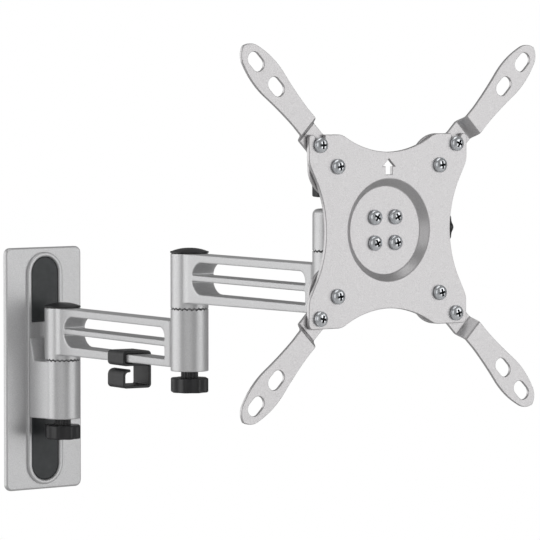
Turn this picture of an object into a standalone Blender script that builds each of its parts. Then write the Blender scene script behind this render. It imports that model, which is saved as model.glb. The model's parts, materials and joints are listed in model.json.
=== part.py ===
"""A lockable full motion television wall mount, with two folding arms and a tilting VESA plate.

Frame: the origin is the centre of the wall plate's back face, -Y points out of the wall and +Z is up.
Each pivot has an empty on its axis, and what turns about it is parented to that empty. The toothed
locks stand in their released state, so that every pivot is free to turn.
"""

import math

import bmesh
import bpy
from mathutils import Matrix, Vector

MM = 0.001
GAP = 0.3 * MM  # clearance kept between neighbouring solids

# Driving dimensions of the whole mount
ARM_LENGTH = 170 * MM  # pivot to pivot
ARM_STEP = 43 * MM  # rise from one toothed joint to the next
ARM_YAW = math.radians(-8)  # how far the two arms lean to one side of straight out
HEAD_YAW = math.radians(-3)  # how far the head is turned to the same side
COLUMN_RADIUS = 12 * MM
COLUMN_OUT = 25 * MM  # wall to the first pivot axis
WALL_TEETH_Z = 7 * MM
UPPER_HALF = 34.9 * MM  # column height above a toothed joint
LOWER_HALF = 39.5 * MM  # column height below it

# Toothed locks
TEETH = 24
TOOTH_HALF_HEIGHT = 0.35 * MM
LOCK_GAP = 1.0 * MM  # between the two toothed rings while the lock is released
BOLT_RADIUS = 4 * MM
BOLT_CLEARANCE = BOLT_RADIUS + 0.4 * MM
TUBE_RADIUS = 6.2 * MM
BUSH_RADIUS = 7.9 * MM
BUSH_BORE = BUSH_RADIUS + GAP
SPRING_BORE = 8.6 * MM
SPRING_BORE_DEPTH = 7 * MM
TUBE_DEPTH = 20 * MM
BUSH_FOOT = 2 * MM  # bottom of the bush above the teeth
BUSH_SHELF = 24.3 * MM
NUT_SHELF = 26.3 * MM
NUT_POCKET = 9.5 * MM  # depth of the pocket at the foot of the second arm
NUT_HEIGHT = 6.5 * MM
NUT_RADIUS = 7.5 * MM  # over the corners
CAP_RISE = 3.1 * MM
CAP_RIM_HEIGHT = 1.0 * MM
CAP_OVERHANG = 0.2 * MM
KNOB_RADIUS = 12.2 * MM
KNOB_HEIGHT = 9.3 * MM
KNOB_LOBES = 8
KNOB_LOBE_DEPTH = 1.1 * MM
KNOB_NECK = 4.2 * MM
NECK_RADIUS = 5.45 * MM

# Arm casting
ARM_THICKNESS = 16 * MM
ARM_FILLET = 10 * MM  # plan radius between the beam and a column
ARM_TOP = 34.75 * MM
ARM_FOOT_INNER = 3.8 * MM
ARM_FOOT_OUTER = 5.5 * MM
RAIL_LEVELS = (9.95 * MM, 18.15 * MM, 21.8 * MM, 30.0 * MM)  # lower window, then upper window
WINDOW_INNER = 16.5 * MM
WINDOW_OUTER = 18.5 * MM  # measured back from the outer pivot
WINDOW_ROUND = 12 * MM
WINDOW_TOP_CORNER = 6.2 * MM
WINDOW_CORNER = 1.2 * MM

# Wall plate and bracket
PLATE_WIDTH = 62 * MM
PLATE_HEIGHT = 163 * MM
PLATE_THICKNESS = 4 * MM
PLATE_CORNER = 4.5 * MM
RING_HALF_WIDTH = 14.5 * MM
RING_HALF_HEIGHT = 78.3 * MM
RING_FRONT = 6 * MM
POCKET_HALF_WIDTH = 11.1 * MM
POCKET_HALF_HEIGHT = 75.3 * MM
POCKET_FLOOR = 2.5 * MM
COVER_FRONT = 5 * MM
FLANGE_RISE = 24.4 * MM  # bracket flange above the wall teeth
WALL_HOLES_Z = (62 * MM, 44 * MM, -44 * MM, -62 * MM)
WALL_HOLE_RADIUS = 3.2 * MM
BRACKET_SCREWS_Z = (-17 * MM, -32 * MM)  # from the wall teeth
BRACKET_FOOT_HALF = 14.2 * MM  # where the bracket meets the ring

# Head and tilt
HEAD_HEIGHT = 25 * MM
HEAD_BORE_DEPTH = 16 * MM
HEAD_NECK_GAP = 7 * MM  # between the head casting and its knob
TILT_OUT = 31.5 * MM  # tilt axis in front of the head axis
TILT_RISE = 14 * MM
BARREL_RADIUS = 9 * MM
BARREL_HALF = 11 * MM
TILT_WASHER = 1.5 * MM
EAR = 3 * MM
TILT_BOLT_REACH = 41 * MM
TILT_KNOB_END = 59.2 * MM
TILT_KNOB_GRIP = 13 * MM
TILT_KNOB_RADIUS = 10 * MM
TILT_HUB_RADIUS = 9.6 * MM
TILT_NECK_RADIUS = 6.5 * MM

# VESA plate, centre screws and extension arms
FACE_OUT = 54.5 * MM  # plate front in front of the head axis
FACE_THICKNESS = 2.5 * MM
FACE_HALF_WIDTH = 58 * MM
FACE_HALF_HEIGHT = 56 * MM
FACE_WAIST = 45.5 * MM
SHOULDER_X = 34 * MM
SHOULDER_Z = 38 * MM
DISH_DEPTH = 4 * MM
DISH_RIM = 30 * MM
DISH_FLOOR = 26.25 * MM
FLANGE_FACE = FACE_OUT - TILT_OUT - DISH_DEPTH - FACE_THICKNESS - GAP  # from the tilt axis
VESA_75 = 37.5 * MM
VESA_100 = 50 * MM
CENTRE_PITCH = 7.5 * MM
SCREW_RADIUS = 2 * MM
SCREW_HOLE = SCREW_RADIUS + GAP
HEAD_RADIUS = 4.5 * MM
HEAD_RISE = 3.1 * MM
HEAD_SHOULDER = 1.3 * MM
NOTCH_HALF = 3.5 * MM
TONGUE_THICKNESS = 2 * MM
TONGUE_ROUND = 18.5 * MM
TONGUE_HALF = 7.3 * MM
JOGGLE_START = 81.8 * MM
JOGGLE_END = 85.6 * MM
JOGGLE_STEP = 6 * MM
SLOT_PLACES = (118.2 * MM, 138.3 * MM)
SLOT_WIDTH = 8.4 * MM
SLOT_LENGTH = 12.6 * MM
PADDLE_TIP = 150.8 * MM

# Cable clip on the first arm
CLIP_PLACE = 91.9 * MM
CLIP_WIDTH = 21 * MM
CLIP_WALL = 1.8 * MM
CLIP_LIP = 3.2 * MM  # radius of the hook's curled end

# Finishes: colour, roughness, metallic
SILVER_PAINT = ((0.62, 0.62, 0.63, 1), 0.38, 0.6)
BLACK_PLASTIC = ((0.02, 0.022, 0.024, 1), 0.45, 0.0)
COVER_PLASTIC = ((0.045, 0.05, 0.052, 1), 0.5, 0.0)
ZINC = ((0.6, 0.62, 0.66, 1), 0.3, 1.0)
STEEL = ((0.5, 0.5, 0.5, 1), 0.35, 1.0)
NYLON = ((0.75, 0.74, 0.7, 1), 0.5, 0.0)

UPRIGHT = Matrix.Rotation(math.radians(90), 4, "X")  # XY outline to XZ, its top face towards -Y
ALONG_ARM = Matrix.Rotation(math.radians(-90), 4, "Z") @ UPRIGHT  # XY outline to (-Y, Z)
ACROSS = Matrix.Rotation(math.radians(90), 4, "Y")  # +Z to +X


def clear_scene():
    for item in list(bpy.data.objects):
        bpy.data.objects.remove(item, do_unlink=True)


def new_collection(name):
    collection = bpy.data.collections.new(name)
    bpy.context.scene.collection.children.link(collection)
    return collection


clear_scene()
PARTS = new_collection("full_motion_wall_mount")
CUTTERS = new_collection("cutters")
CUTTERS.hide_render = True


def empty(name, parent, location, yaw=0.0):
    """An empty on a pivot's axis."""
    marker = bpy.data.objects.new(name, None)
    marker.empty_display_size = 0.02
    marker.location = location
    marker.rotation_euler = (0, 0, yaw)
    marker.parent = parent
    PARTS.objects.link(marker)
    return marker


def place(name, mesh, parent, location=(0, 0, 0), turn=None):
    """An object of this mesh under a pivot, at a location in the pivot's own frame."""
    item = bpy.data.objects.new(name, mesh)
    item.parent = parent
    item.matrix_basis = Matrix.Translation(location) @ (turn or Matrix.Identity(4))
    PARTS.objects.link(item)
    return item


def finish(item, look):
    """The object's own Principled material."""
    colour, roughness, metallic = look
    material = bpy.data.materials.new(item.name + "_finish")
    material.use_nodes = True
    shader = material.node_tree.nodes["Principled BSDF"]
    shader.inputs["Base Color"].default_value = colour
    shader.inputs["Roughness"].default_value = roughness
    shader.inputs["Metallic"].default_value = metallic
    item.data.materials.clear()
    item.data.materials.append(material)
    return item


def helper(item):
    """Moves an object to the cutters, where it only shapes other parts."""
    PARTS.objects.unlink(item)
    CUTTERS.objects.link(item)
    item.hide_render = True
    item.display_type = "WIRE"
    return item


def combine(target, other, operation):
    """An exact Boolean of the target with a helper object."""
    modifier = target.modifiers.new(operation.lower() + "_" + other.name, "BOOLEAN")
    modifier.operation = operation
    modifier.solver = "EXACT"
    modifier.object = helper(other)
    return target


def mesh_of(shape, name):
    """The bmesh as a smooth-shaded mesh with sharp edges kept sharp."""
    mesh = bpy.data.meshes.new(name)
    bmesh.ops.recalc_face_normals(shape, faces=shape.faces)
    shape.to_mesh(mesh)
    shape.free()
    mesh.shade_smooth()
    mesh.set_sharp_from_angle(angle=math.radians(35))
    return mesh


def evaluated_mesh(item, name):
    """The object's evaluated mesh, welded; the object itself is removed."""
    graph = bpy.context.evaluated_depsgraph_get()
    made = bpy.data.meshes.new_from_object(item.evaluated_get(graph))
    bpy.data.objects.remove(item, do_unlink=True)
    shape = bmesh.new()
    shape.from_mesh(made)
    bpy.data.meshes.remove(made)
    bmesh.ops.remove_doubles(shape, verts=shape.verts, dist=0.000001)
    return mesh_of(shape, name)


def turned(name, profile, segments=24):
    """A turned solid about Z. The (radius, height) profile runs down the outer side. It ends on the
    axis, or it closes into a loop and leaves a bore."""
    shape = bmesh.new()
    rim = [shape.verts.new((radius, 0, height)) for radius, height in profile]
    for first, second in zip(rim, rim[1:]):
        shape.edges.new((first, second))
    if profile[0][0] > 0:
        shape.edges.new((rim[-1], rim[0]))
    outline = bpy.data.meshes.new(name)
    shape.to_mesh(outline)
    shape.free()
    item = bpy.data.objects.new(name, outline)
    PARTS.objects.link(item)
    screw = item.modifiers.new("turn", "SCREW")
    screw.steps = segments
    screw.render_steps = segments
    screw.use_merge_vertices = True
    screw.merge_threshold = 0.00001
    return evaluated_mesh(item, name)


def rod(name, radius, low, high, segments=24):
    """A plain cylinder about Z."""
    return turned(name, [(0, high), (radius, high), (radius, low), (0, low)], segments)


def ring(name, outer, inner, low, high, segments=24):
    """A plain ring about Z."""
    profile = [(inner, high), (outer, high), (outer, low), (inner, low)]
    return turned(name, profile, segments)


def arc(centre, radius, start, end, steps):
    """Points on an arc, angles in degrees, both ends included."""
    angles = [math.radians(start + (end - start) * step / steps) for step in range(steps + 1)]
    return [(centre[0] + radius * math.cos(a), centre[1] + radius * math.sin(a)) for a in angles]


def arc_through(first, middle, last, steps):
    """Points on the arc from first to last by way of middle, both ends included."""
    (ax, ay), (bx, by), (cx, cy) = first, middle, last
    det = 2 * (ax * (by - cy) + bx * (cy - ay) + cx * (ay - by))
    squares = ax * ax + ay * ay, bx * bx + by * by, cx * cx + cy * cy
    ux = (squares[0] * (by - cy) + squares[1] * (cy - ay) + squares[2] * (ay - by)) / det
    uy = (squares[0] * (cx - bx) + squares[1] * (ax - cx) + squares[2] * (bx - ax)) / det
    radius = math.hypot(ax - ux, ay - uy)
    start, by_way, end = [math.degrees(math.atan2(y - uy, x - ux)) for x, y in (first, middle, last)]
    anticlockwise = (by_way - start) % 360 < (end - start) % 360
    sweep = (end - start) % 360 if anticlockwise else -((start - end) % 360)
    return arc((ux, uy), radius, start, start + sweep, steps)


def rounded(corners, steps=5):
    """The outline through (x, y, radius) corners, each rounded to its radius."""
    points = []
    for index, (x, y, radius) in enumerate(corners):
        here = Vector((x, y))
        if radius == 0:
            points.append((x, y))
            continue
        before = (Vector(corners[index - 1][:2]) - here).normalized()
        after = (Vector(corners[(index + 1) % len(corners)][:2]) - here).normalized()
        half = before.angle(after) / 2
        centre = here + (before + after).normalized() * radius / math.sin(half)
        first = here + before * radius / math.tan(half) - centre
        last = here + after * radius / math.tan(half) - centre
        start = math.degrees(math.atan2(first.y, first.x))
        end = math.degrees(math.atan2(last.y, last.x))
        sweep = (end - start + 180) % 360 - 180
        points += arc(centre, radius, start, start + sweep, steps)
    return points


def mirrored(points, across_x=True):
    """The outline continued by its mirror image, in reverse order."""
    signs = (-1, 1) if across_x else (1, -1)
    return points + [(x * signs[0], y * signs[1]) for x, y in reversed(points)]


def distinct(points):
    """The outline without points that repeat the one before them."""
    kept = [p for p, q in zip(points, points[-1:] + points[:-1]) if math.dist(p, q) > 0.00001]
    return kept


def sheet(name, outline, low, high, holes=(), turn=None):
    """A flat outline with holes, filled and given a thickness from low to high along its normal."""
    curve = bpy.data.curves.new(name, "CURVE")
    curve.dimensions = "2D"
    curve.fill_mode = "BOTH"
    curve.extrude = (high - low) / 2
    for points in (outline, *holes):
        points = distinct(points)
        spline = curve.splines.new("POLY")
        spline.points.add(len(points) - 1)
        for point, (x, y) in zip(spline.points, points):
            point.co = (x, y, 0, 1)
        spline.use_cyclic_u = True
    item = bpy.data.objects.new(name, curve)
    PARTS.objects.link(item)
    mesh = evaluated_mesh(item, name)
    mesh.transform(Matrix.Translation((0, 0, (low + high) / 2)))
    mesh.transform(turn or Matrix.Identity(4))
    return mesh


def circle(radius, centre=(0, 0), steps=16):
    """A circle's outline."""
    return arc(centre, radius, 0, 360, steps)[:-1]


def stadium(half_width, half_height, steps=10):
    """An upright outline with round ends."""
    straight = half_height - half_width
    top = arc((0, straight), half_width, 0, 180, steps)
    return mirrored(top, across_x=False)


def neck_fillet(big, half_width, fillet):
    """Where a fillet joins a circle to a straight neck: the fillet centre's distance along the neck,
    and the angle at which it touches the circle, in degrees."""
    aside = half_width + fillet
    along = math.sqrt((big + fillet) ** 2 - aside**2)
    return along, math.degrees(math.atan2(aside, along))


# Wall plate, covers and bracket ------------------------------------------------------------------


def build_wall_plate():
    corners = [
        (sx * PLATE_WIDTH / 2, sz * PLATE_HEIGHT / 2, PLATE_CORNER)
        for sx, sz in ((1, 1), (-1, 1), (-1, -1), (1, -1))
    ]
    slab = sheet("wall_plate", rounded(corners), 0, PLATE_THICKNESS, turn=UPRIGHT)
    plate = finish(place("wall_plate", slab, None), SILVER_PAINT)
    ring_outline = stadium(RING_HALF_WIDTH, RING_HALF_HEIGHT)
    crest = sheet("plate_ring", ring_outline, 1 * MM, RING_FRONT, turn=UPRIGHT)
    combine(plate, place("plate_ring", crest, None), "UNION")
    pocket_outline = stadium(POCKET_HALF_WIDTH, POCKET_HALF_HEIGHT)
    pocket = sheet("plate_pocket", pocket_outline, POCKET_FLOOR, 2 * RING_FRONT, turn=UPRIGHT)
    combine(plate, place("plate_pocket", pocket, None), "DIFFERENCE")
    for number, z in enumerate(WALL_HOLES_Z, 1):
        hole = rod(f"wall_hole_{number}", WALL_HOLE_RADIUS, -1 * MM, 5 * MM, 16)
        combine(plate, place(f"wall_hole_{number}", hole, None, (0, 0, z), UPRIGHT), "DIFFERENCE")
    for number, z in enumerate(BRACKET_SCREWS_Z, 1):
        name = f"screw_seat_{number}"
        seat = turned(name, countersink(3.1 * MM, 5.6 * MM, POCKET_FLOOR + 1 * MM, 0.1 * MM), 16)
        combine(plate, place(name, seat, None, (0, 0, WALL_TEETH_Z + z), UPRIGHT), "DIFFERENCE")


def countersink(shank, head, length, lip):
    """A countersunk screw's profile pointing up: its head's face is lip below zero."""
    neck = head - shank - lip
    low = -3 * lip
    return [(0, length), (shank, length), (shank, neck), (head, -lip), (head, low), (0, low)]


def build_bracket_screws():
    """The two countersunk screws that hold the bracket, put in from the back of the plate."""
    for name, z in zip(("bracket_screw_upper", "bracket_screw_lower"), BRACKET_SCREWS_Z):
        profile = countersink(2.5 * MM, 4.7 * MM, 14 * MM, 0)
        profile = [(radius, height + GAP) for radius, height in profile[:4]] + [(0, GAP)]
        screw = turned(name, profile, 16)
        finish(place(name, screw, None, (0, 0, WALL_TEETH_Z + z), UPRIGHT), ZINC)


def build_covers():
    """The two plastic covers over the wall screws, above and below the bracket."""
    half = POCKET_HALF_WIDTH - GAP
    end = POCKET_HALF_HEIGHT - GAP
    upper_edge = WALL_TEETH_Z + FLANGE_RISE + GAP
    lower_edge = WALL_TEETH_Z - LOWER_HALF - GAP
    for name, edge, side in (("upper_cover", upper_edge, 1), ("lower_cover", lower_edge, -1)):
        round_end = arc((0, side * (end - half)), half, 0, side * 180, 10)
        outline = round_end + [(-half, edge), (half, edge)]
        cover = sheet(name, outline, POCKET_FLOOR + GAP, COVER_FRONT, turn=UPRIGHT)
        finish(place(name, cover, None), COVER_PLASTIC)


def build_bracket():
    """The casting with the fixed half of the first lock: flange, web, gusset and column."""
    teeth = -LOCK_GAP / 2 - TOOTH_HALF_HEIGHT - 0.1 * MM
    side = [
        (RING_FRONT + GAP, -LOWER_HALF + 0.1 * MM),
        (COLUMN_OUT, -LOWER_HALF + 0.1 * MM),
        (COLUMN_OUT, teeth),
        (11 * MM, teeth),
        (7.6 * MM, 14 * MM),
        (RING_FRONT + GAP, 14 * MM),
    ]
    web_half = COLUMN_RADIUS - 0.05 * MM
    web = sheet("wall_bracket", side, -web_half, web_half, turn=ALONG_ARM)
    for vertex in web.vertices:
        share = (COLUMN_OUT + vertex.co.y) / (COLUMN_OUT - RING_FRONT - GAP)
        vertex.co.x *= 1 + share * (BRACKET_FOOT_HALF / web_half - 1)
    spot = (0, 0, WALL_TEETH_Z)
    bracket = finish(place("wall_bracket", web, None, spot), SILVER_PAINT)
    flange_half = POCKET_HALF_WIDTH - GAP
    flange_side = [
        (POCKET_FLOOR + GAP, -LOWER_HALF),
        (RING_FRONT + 1 * MM, -LOWER_HALF),
        (RING_FRONT + 1 * MM, 13 * MM),
        (4.6 * MM, 13 * MM),
        (4.6 * MM, FLANGE_RISE),
        (POCKET_FLOOR + GAP, FLANGE_RISE),
    ]
    flange = sheet("bracket_flange", flange_side, -flange_half, flange_half, turn=ALONG_ARM)
    combine(bracket, place("bracket_flange", flange, None, spot), "UNION")
    column_spot = (0, -COLUMN_OUT, WALL_TEETH_Z)
    core = rod("bracket_core", COLUMN_RADIUS - 1.5 * MM, -50 * MM, 5 * MM)
    combine(bracket, place("bracket_core", core, None, column_spot), "DIFFERENCE")
    column = toothed(lower_column("bracket_column"), -LOCK_GAP / 2, ARM_YAW)
    combine(bracket, place("bracket_column", column, None, column_spot), "UNION")
    for number, z in enumerate(BRACKET_SCREWS_Z, 1):
        hole = rod(f"bracket_hole_{number}", 2.8 * MM, 0, 15 * MM, 16)
        hole_spot = (0, 0, WALL_TEETH_Z + z)
        combine(bracket, place(f"bracket_hole_{number}", hole, None, hole_spot, UPRIGHT), "DIFFERENCE")


# Toothed columns ---------------------------------------------------------------------------------


def toothed(mesh, plane, phase=0.0):
    """Turns the flat end at this height into a ring of teeth, then turns the whole mesh by the phase."""
    for vertex in mesh.vertices:
        if abs(vertex.co.z - plane) < 0.00001:
            angle = math.atan2(vertex.co.y, vertex.co.x)
            vertex.co.z += TOOTH_HALF_HEIGHT * math.cos(TEETH * angle)
    mesh.transform(Matrix.Rotation(phase, 4, "Z"))
    return mesh


def lower_column(name, nut_below=False):
    """The half below a lock's teeth, which hold at height 0. It takes the pivot tube and the spring."""
    top = -LOCK_GAP / 2
    rim = 1.2 * MM
    profile = [
        (SPRING_BORE, top),
        (COLUMN_RADIUS, top),
        (COLUMN_RADIUS, rim - LOWER_HALF),
        (COLUMN_RADIUS - rim, -LOWER_HALF),
    ]
    if nut_below:
        shelf = NUT_POCKET - LOWER_HALF
        profile += [(BUSH_BORE, -LOWER_HALF), (BUSH_BORE, shelf), (BOLT_CLEARANCE, shelf)]
    else:
        profile += [(BOLT_CLEARANCE, -LOWER_HALF)]
    profile += [
        (BOLT_CLEARANCE, -TUBE_DEPTH),
        (TUBE_RADIUS + GAP, -TUBE_DEPTH),
        (TUBE_RADIUS + GAP, -SPRING_BORE_DEPTH),
        (SPRING_BORE, -SPRING_BORE_DEPTH),
    ]
    return turned(name, profile, TEETH * 2)


def upper_column(name):
    """The half above a lock's teeth. It takes the bush, and the nut on a shelf under its cap."""
    profile = [
        (BUSH_BORE, UPPER_HALF),
        (COLUMN_RADIUS, UPPER_HALF),
        (COLUMN_RADIUS, LOCK_GAP / 2),
        (BUSH_BORE, LOCK_GAP / 2),
        (BUSH_BORE, BUSH_SHELF),
        (BOLT_CLEARANCE, BUSH_SHELF),
        (BOLT_CLEARANCE, NUT_SHELF),
        (BUSH_BORE, NUT_SHELF),
    ]
    return turned(name, profile, TEETH * 2)


def head_column(name):
    """The head's half column, with a rounded top that the knob presses on."""
    shoulder = 3.5 * MM
    crown = arc((COLUMN_RADIUS - shoulder, HEAD_HEIGHT - shoulder), shoulder, 90, 0, 4)
    profile = [(BOLT_CLEARANCE, HEAD_HEIGHT)] + crown
    profile += [
        (COLUMN_RADIUS, LOCK_GAP / 2),
        (BUSH_BORE, LOCK_GAP / 2),
        (BUSH_BORE, HEAD_BORE_DEPTH),
        (BOLT_CLEARANCE, HEAD_BORE_DEPTH),
    ]
    return turned(name, profile, TEETH * 2)


# Lock hardware -----------------------------------------------------------------------------------


def hexagon_ring(name, radius, bore, low, high, turn=None):
    return sheet(name, circle(radius, steps=6), low, high, [circle(bore)], turn)


def lobed(radius, lobes, depth, steps=40):
    """A round outline with rounded lobes."""
    points = []
    for step in range(steps):
        angle = 2 * math.pi * step / steps
        reach = radius - depth * (1 - math.cos(lobes * angle)) / 2
        points.append((reach * math.cos(angle), reach * math.sin(angle)))
    return points


def build_knob(name, parent, location, neck, turn=None):
    """A lobed knob on a neck. Its frame's zero is the face that the neck presses on."""
    outline = lobed(KNOB_RADIUS, KNOB_LOBES, KNOB_LOBE_DEPTH)
    grip = sheet(name, outline, -neck - KNOB_HEIGHT, -neck)
    knob = finish(place(name, grip, parent, location, turn), BLACK_PLASTIC)
    stem = rod(name + "_neck", NECK_RADIUS, -neck - 1 * MM, -GAP)
    combine(knob, place(name + "_neck", stem, parent, location, turn), "UNION")
    socket = rod(name + "_socket", BOLT_RADIUS + GAP, -neck - 7 * MM, 1 * MM)
    combine(knob, place(name + "_socket", socket, parent, location, turn), "DIFFERENCE")


def build_bolt(name, parent, location, neck, reach, turn=None):
    """The bolt that is fixed in a knob and reaches this far beyond the face its neck presses on."""
    foot = -neck - 6.7 * MM
    tip = 0.8 * MM
    profile = [(0, reach), (BOLT_RADIUS - tip, reach), (BOLT_RADIUS, reach - tip)]
    profile += [(BOLT_RADIUS, foot), (0, foot)]
    finish(place(name, turned(name, profile), parent, location, turn), ZINC)


def build_cap(name, parent, location, turn=None):
    """A domed plug on a column's end face."""
    rim = COLUMN_RADIUS + CAP_OVERHANG
    foot = GAP + CAP_RIM_HEIGHT
    top = CAP_RISE + GAP
    dome = arc_through((0, top), (rim * 0.55, foot + (top - foot) * 0.72), (rim, foot), 4)
    plug = BUSH_RADIUS - GAP
    profile = dome + [(rim, GAP), (plug, GAP), (plug, -1.4 * MM), (0, -1.4 * MM)]
    finish(place(name, turned(name, profile), parent, location, turn), BLACK_PLASTIC)


def build_spring(name, parent):
    """The coil that lifts the lock open, round the pivot tube."""
    wire = 0.55 * MM
    radius = (TUBE_RADIUS + SPRING_BORE) / 2
    low = -SPRING_BORE_DEPTH + GAP + wire
    high = -LOCK_GAP / 2 - 0.1 * MM - wire
    turns = 3
    steps = 10
    curve = bpy.data.curves.new(name, "CURVE")
    curve.dimensions = "3D"
    curve.bevel_depth = wire
    curve.bevel_resolution = 1
    curve.use_fill_caps = True
    coil = curve.splines.new("POLY")
    coil.points.add(turns * steps)
    for step, point in enumerate(coil.points):
        share = step / (turns * steps)
        angle = 2 * math.pi * turns * share
        point.co = (radius * math.cos(angle), radius * math.sin(angle), low + (high - low) * share, 1)
    item = bpy.data.objects.new(name, curve)
    PARTS.objects.link(item)
    finish(place(name, evaluated_mesh(item, name), parent), STEEL)


def build_lock_core(prefix, pivot, moving, bush_top, tube_top):
    """The pivot tube and spring in the fixed half, and the bush and washer in the half that turns."""
    tube = ring(prefix + "_tube", TUBE_RADIUS, BOLT_CLEARANCE, GAP - TUBE_DEPTH, tube_top)
    finish(place(prefix + "_tube", tube, pivot), STEEL)
    build_spring(prefix + "_spring", pivot)
    bush = ring(prefix + "_bush", BUSH_RADIUS, TUBE_RADIUS + GAP, BUSH_FOOT, bush_top)
    finish(place(prefix + "_bush", bush, moving), NYLON)
    low = 0.4 * MM
    high = BUSH_FOOT - GAP
    washer = ring(prefix + "_washer", BUSH_RADIUS, TUBE_RADIUS + 0.4 * MM, low, high)
    finish(place(prefix + "_washer", washer, moving), STEEL)


def build_low_lock(prefix, pivot, moving):
    """A lock with its knob below, as at the wall and at the elbow."""
    build_lock_core(prefix, pivot, moving, BUSH_SHELF - GAP, BUSH_SHELF - 2 * MM)
    base = (0, 0, -LOWER_HALF)
    build_knob(prefix + "_knob", pivot, base, KNOB_NECK)
    build_bolt(prefix + "_bolt", pivot, base, KNOB_NECK, LOWER_HALF + NUT_SHELF + NUT_HEIGHT - GAP)
    nut_low = NUT_SHELF + GAP
    nut = hexagon_ring(prefix + "_nut", NUT_RADIUS, BOLT_RADIUS + GAP, nut_low, nut_low + NUT_HEIGHT)
    finish(place(prefix + "_nut", nut, moving), ZINC)
    build_cap(prefix + "_cap", moving, (0, 0, UPPER_HALF))


def build_head_lock(pivot, moving):
    """The head's lock, with its knob on top and its nut and cap at the foot of the arm's column."""
    build_lock_core("head", pivot, moving, HEAD_BORE_DEPTH - GAP, HEAD_BORE_DEPTH - 2 * MM)
    top = (0, 0, HEAD_HEIGHT)
    flip = Matrix.Rotation(math.pi, 4, "X")
    build_knob("head_knob", moving, top, HEAD_NECK_GAP, flip)
    nut_low = NUT_POCKET - LOWER_HALF - GAP - NUT_HEIGHT
    build_bolt("head_bolt", moving, top, HEAD_NECK_GAP, HEAD_HEIGHT - nut_low - 1 * MM, flip)
    nut = hexagon_ring("head_nut", NUT_RADIUS, BOLT_RADIUS + GAP, nut_low, nut_low + NUT_HEIGHT)
    finish(place("head_nut", nut, pivot), ZINC)
    build_cap("head_cap", pivot, (0, 0, -LOWER_HALF), flip)


# Arms --------------------------------------------------------------------------------------------


def arm_plan():
    """The beam from above: straight sides that flare into both columns."""
    half = ARM_THICKNESS / 2
    inside = COLUMN_RADIUS - 0.1 * MM
    along, touch = neck_fillet(inside, half, ARM_FILLET)
    near = arc((along, half + ARM_FILLET), ARM_FILLET, touch - 180, -90, 4)
    side = [(x, y) for x, y in near]
    far = [(ARM_LENGTH - x, y) for x, y in reversed(near)]
    upper = [(0, side[0][1])] + side + far + [(ARM_LENGTH, side[0][1])]
    return mirrored(upper, across_x=False)


def arm_window(low, high, inner_low):
    """One window between two rails: part of a large ellipse at the inner end, nearly square at the
    outer end but for the topmost corner. inner_low says that the middle rail is on its low side."""
    middle = (RAIL_LEVELS[1] + RAIL_LEVELS[2]) / 2
    rise = RAIL_LEVELS[3] - middle
    rail = (RAIL_LEVELS[2] - RAIL_LEVELS[1]) / 2
    first = math.asin(rail / rise)
    ellipse = []
    for step in range(7):
        angle = first + (math.pi / 2 - first) * step / 6
        x = WINDOW_INNER + WINDOW_ROUND * (1 - math.cos(angle))
        y = rise * math.sin(angle)
        ellipse.append((x, middle + (y if inner_low else -y)))
    end = ARM_LENGTH - WINDOW_OUTER
    top = WINDOW_TOP_CORNER if inner_low else WINDOW_CORNER
    outer = arc((end - top, high - top), top, 90, 0, 5 if inner_low else 2)
    outer += arc((end - WINDOW_CORNER, low + WINDOW_CORNER), WINDOW_CORNER, 0, -90, 2)
    return ellipse + (outer if inner_low else outer[::-1])


def build_arm(name, pivot, nut_below):
    """An arm casting: the toothed half columns at its two ends and the three rails between them."""
    side = [(0, ARM_FOOT_INNER), (ARM_LENGTH, ARM_FOOT_OUTER), (ARM_LENGTH, ARM_TOP), (0, ARM_TOP)]
    windows = [
        arm_window(RAIL_LEVELS[0], RAIL_LEVELS[1], False),
        arm_window(RAIL_LEVELS[2], RAIL_LEVELS[3], True),
    ]
    width = 2 * COLUMN_RADIUS
    beam = sheet(name, side, -width / 2, width / 2, windows, ALONG_ARM)
    arm = finish(place(name, beam, pivot), SILVER_PAINT)
    to_arm = Matrix.Rotation(math.radians(-90), 4, "Z")
    plan = sheet(name + "_plan", arm_plan(), 0, 60 * MM, turn=to_arm)
    combine(arm, place(name + "_plan", plan, pivot), "INTERSECT")
    outer_spot = (0, -ARM_LENGTH, ARM_STEP)
    for end, spot in (("inner", (0, 0, 0)), ("outer", outer_spot)):
        core = rod(f"{name}_{end}_core", COLUMN_RADIUS - 1.5 * MM, -60 * MM, 60 * MM)
        combine(arm, place(f"{name}_{end}_core", core, pivot, spot), "DIFFERENCE")
    inner = toothed(upper_column(name + "_inner_column"), LOCK_GAP / 2)
    combine(arm, place(name + "_inner_column", inner, pivot), "UNION")
    outer = toothed(lower_column(name + "_outer_column", nut_below), -LOCK_GAP / 2)
    combine(arm, place(name + "_outer_column", outer, pivot, outer_spot), "UNION")


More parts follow.
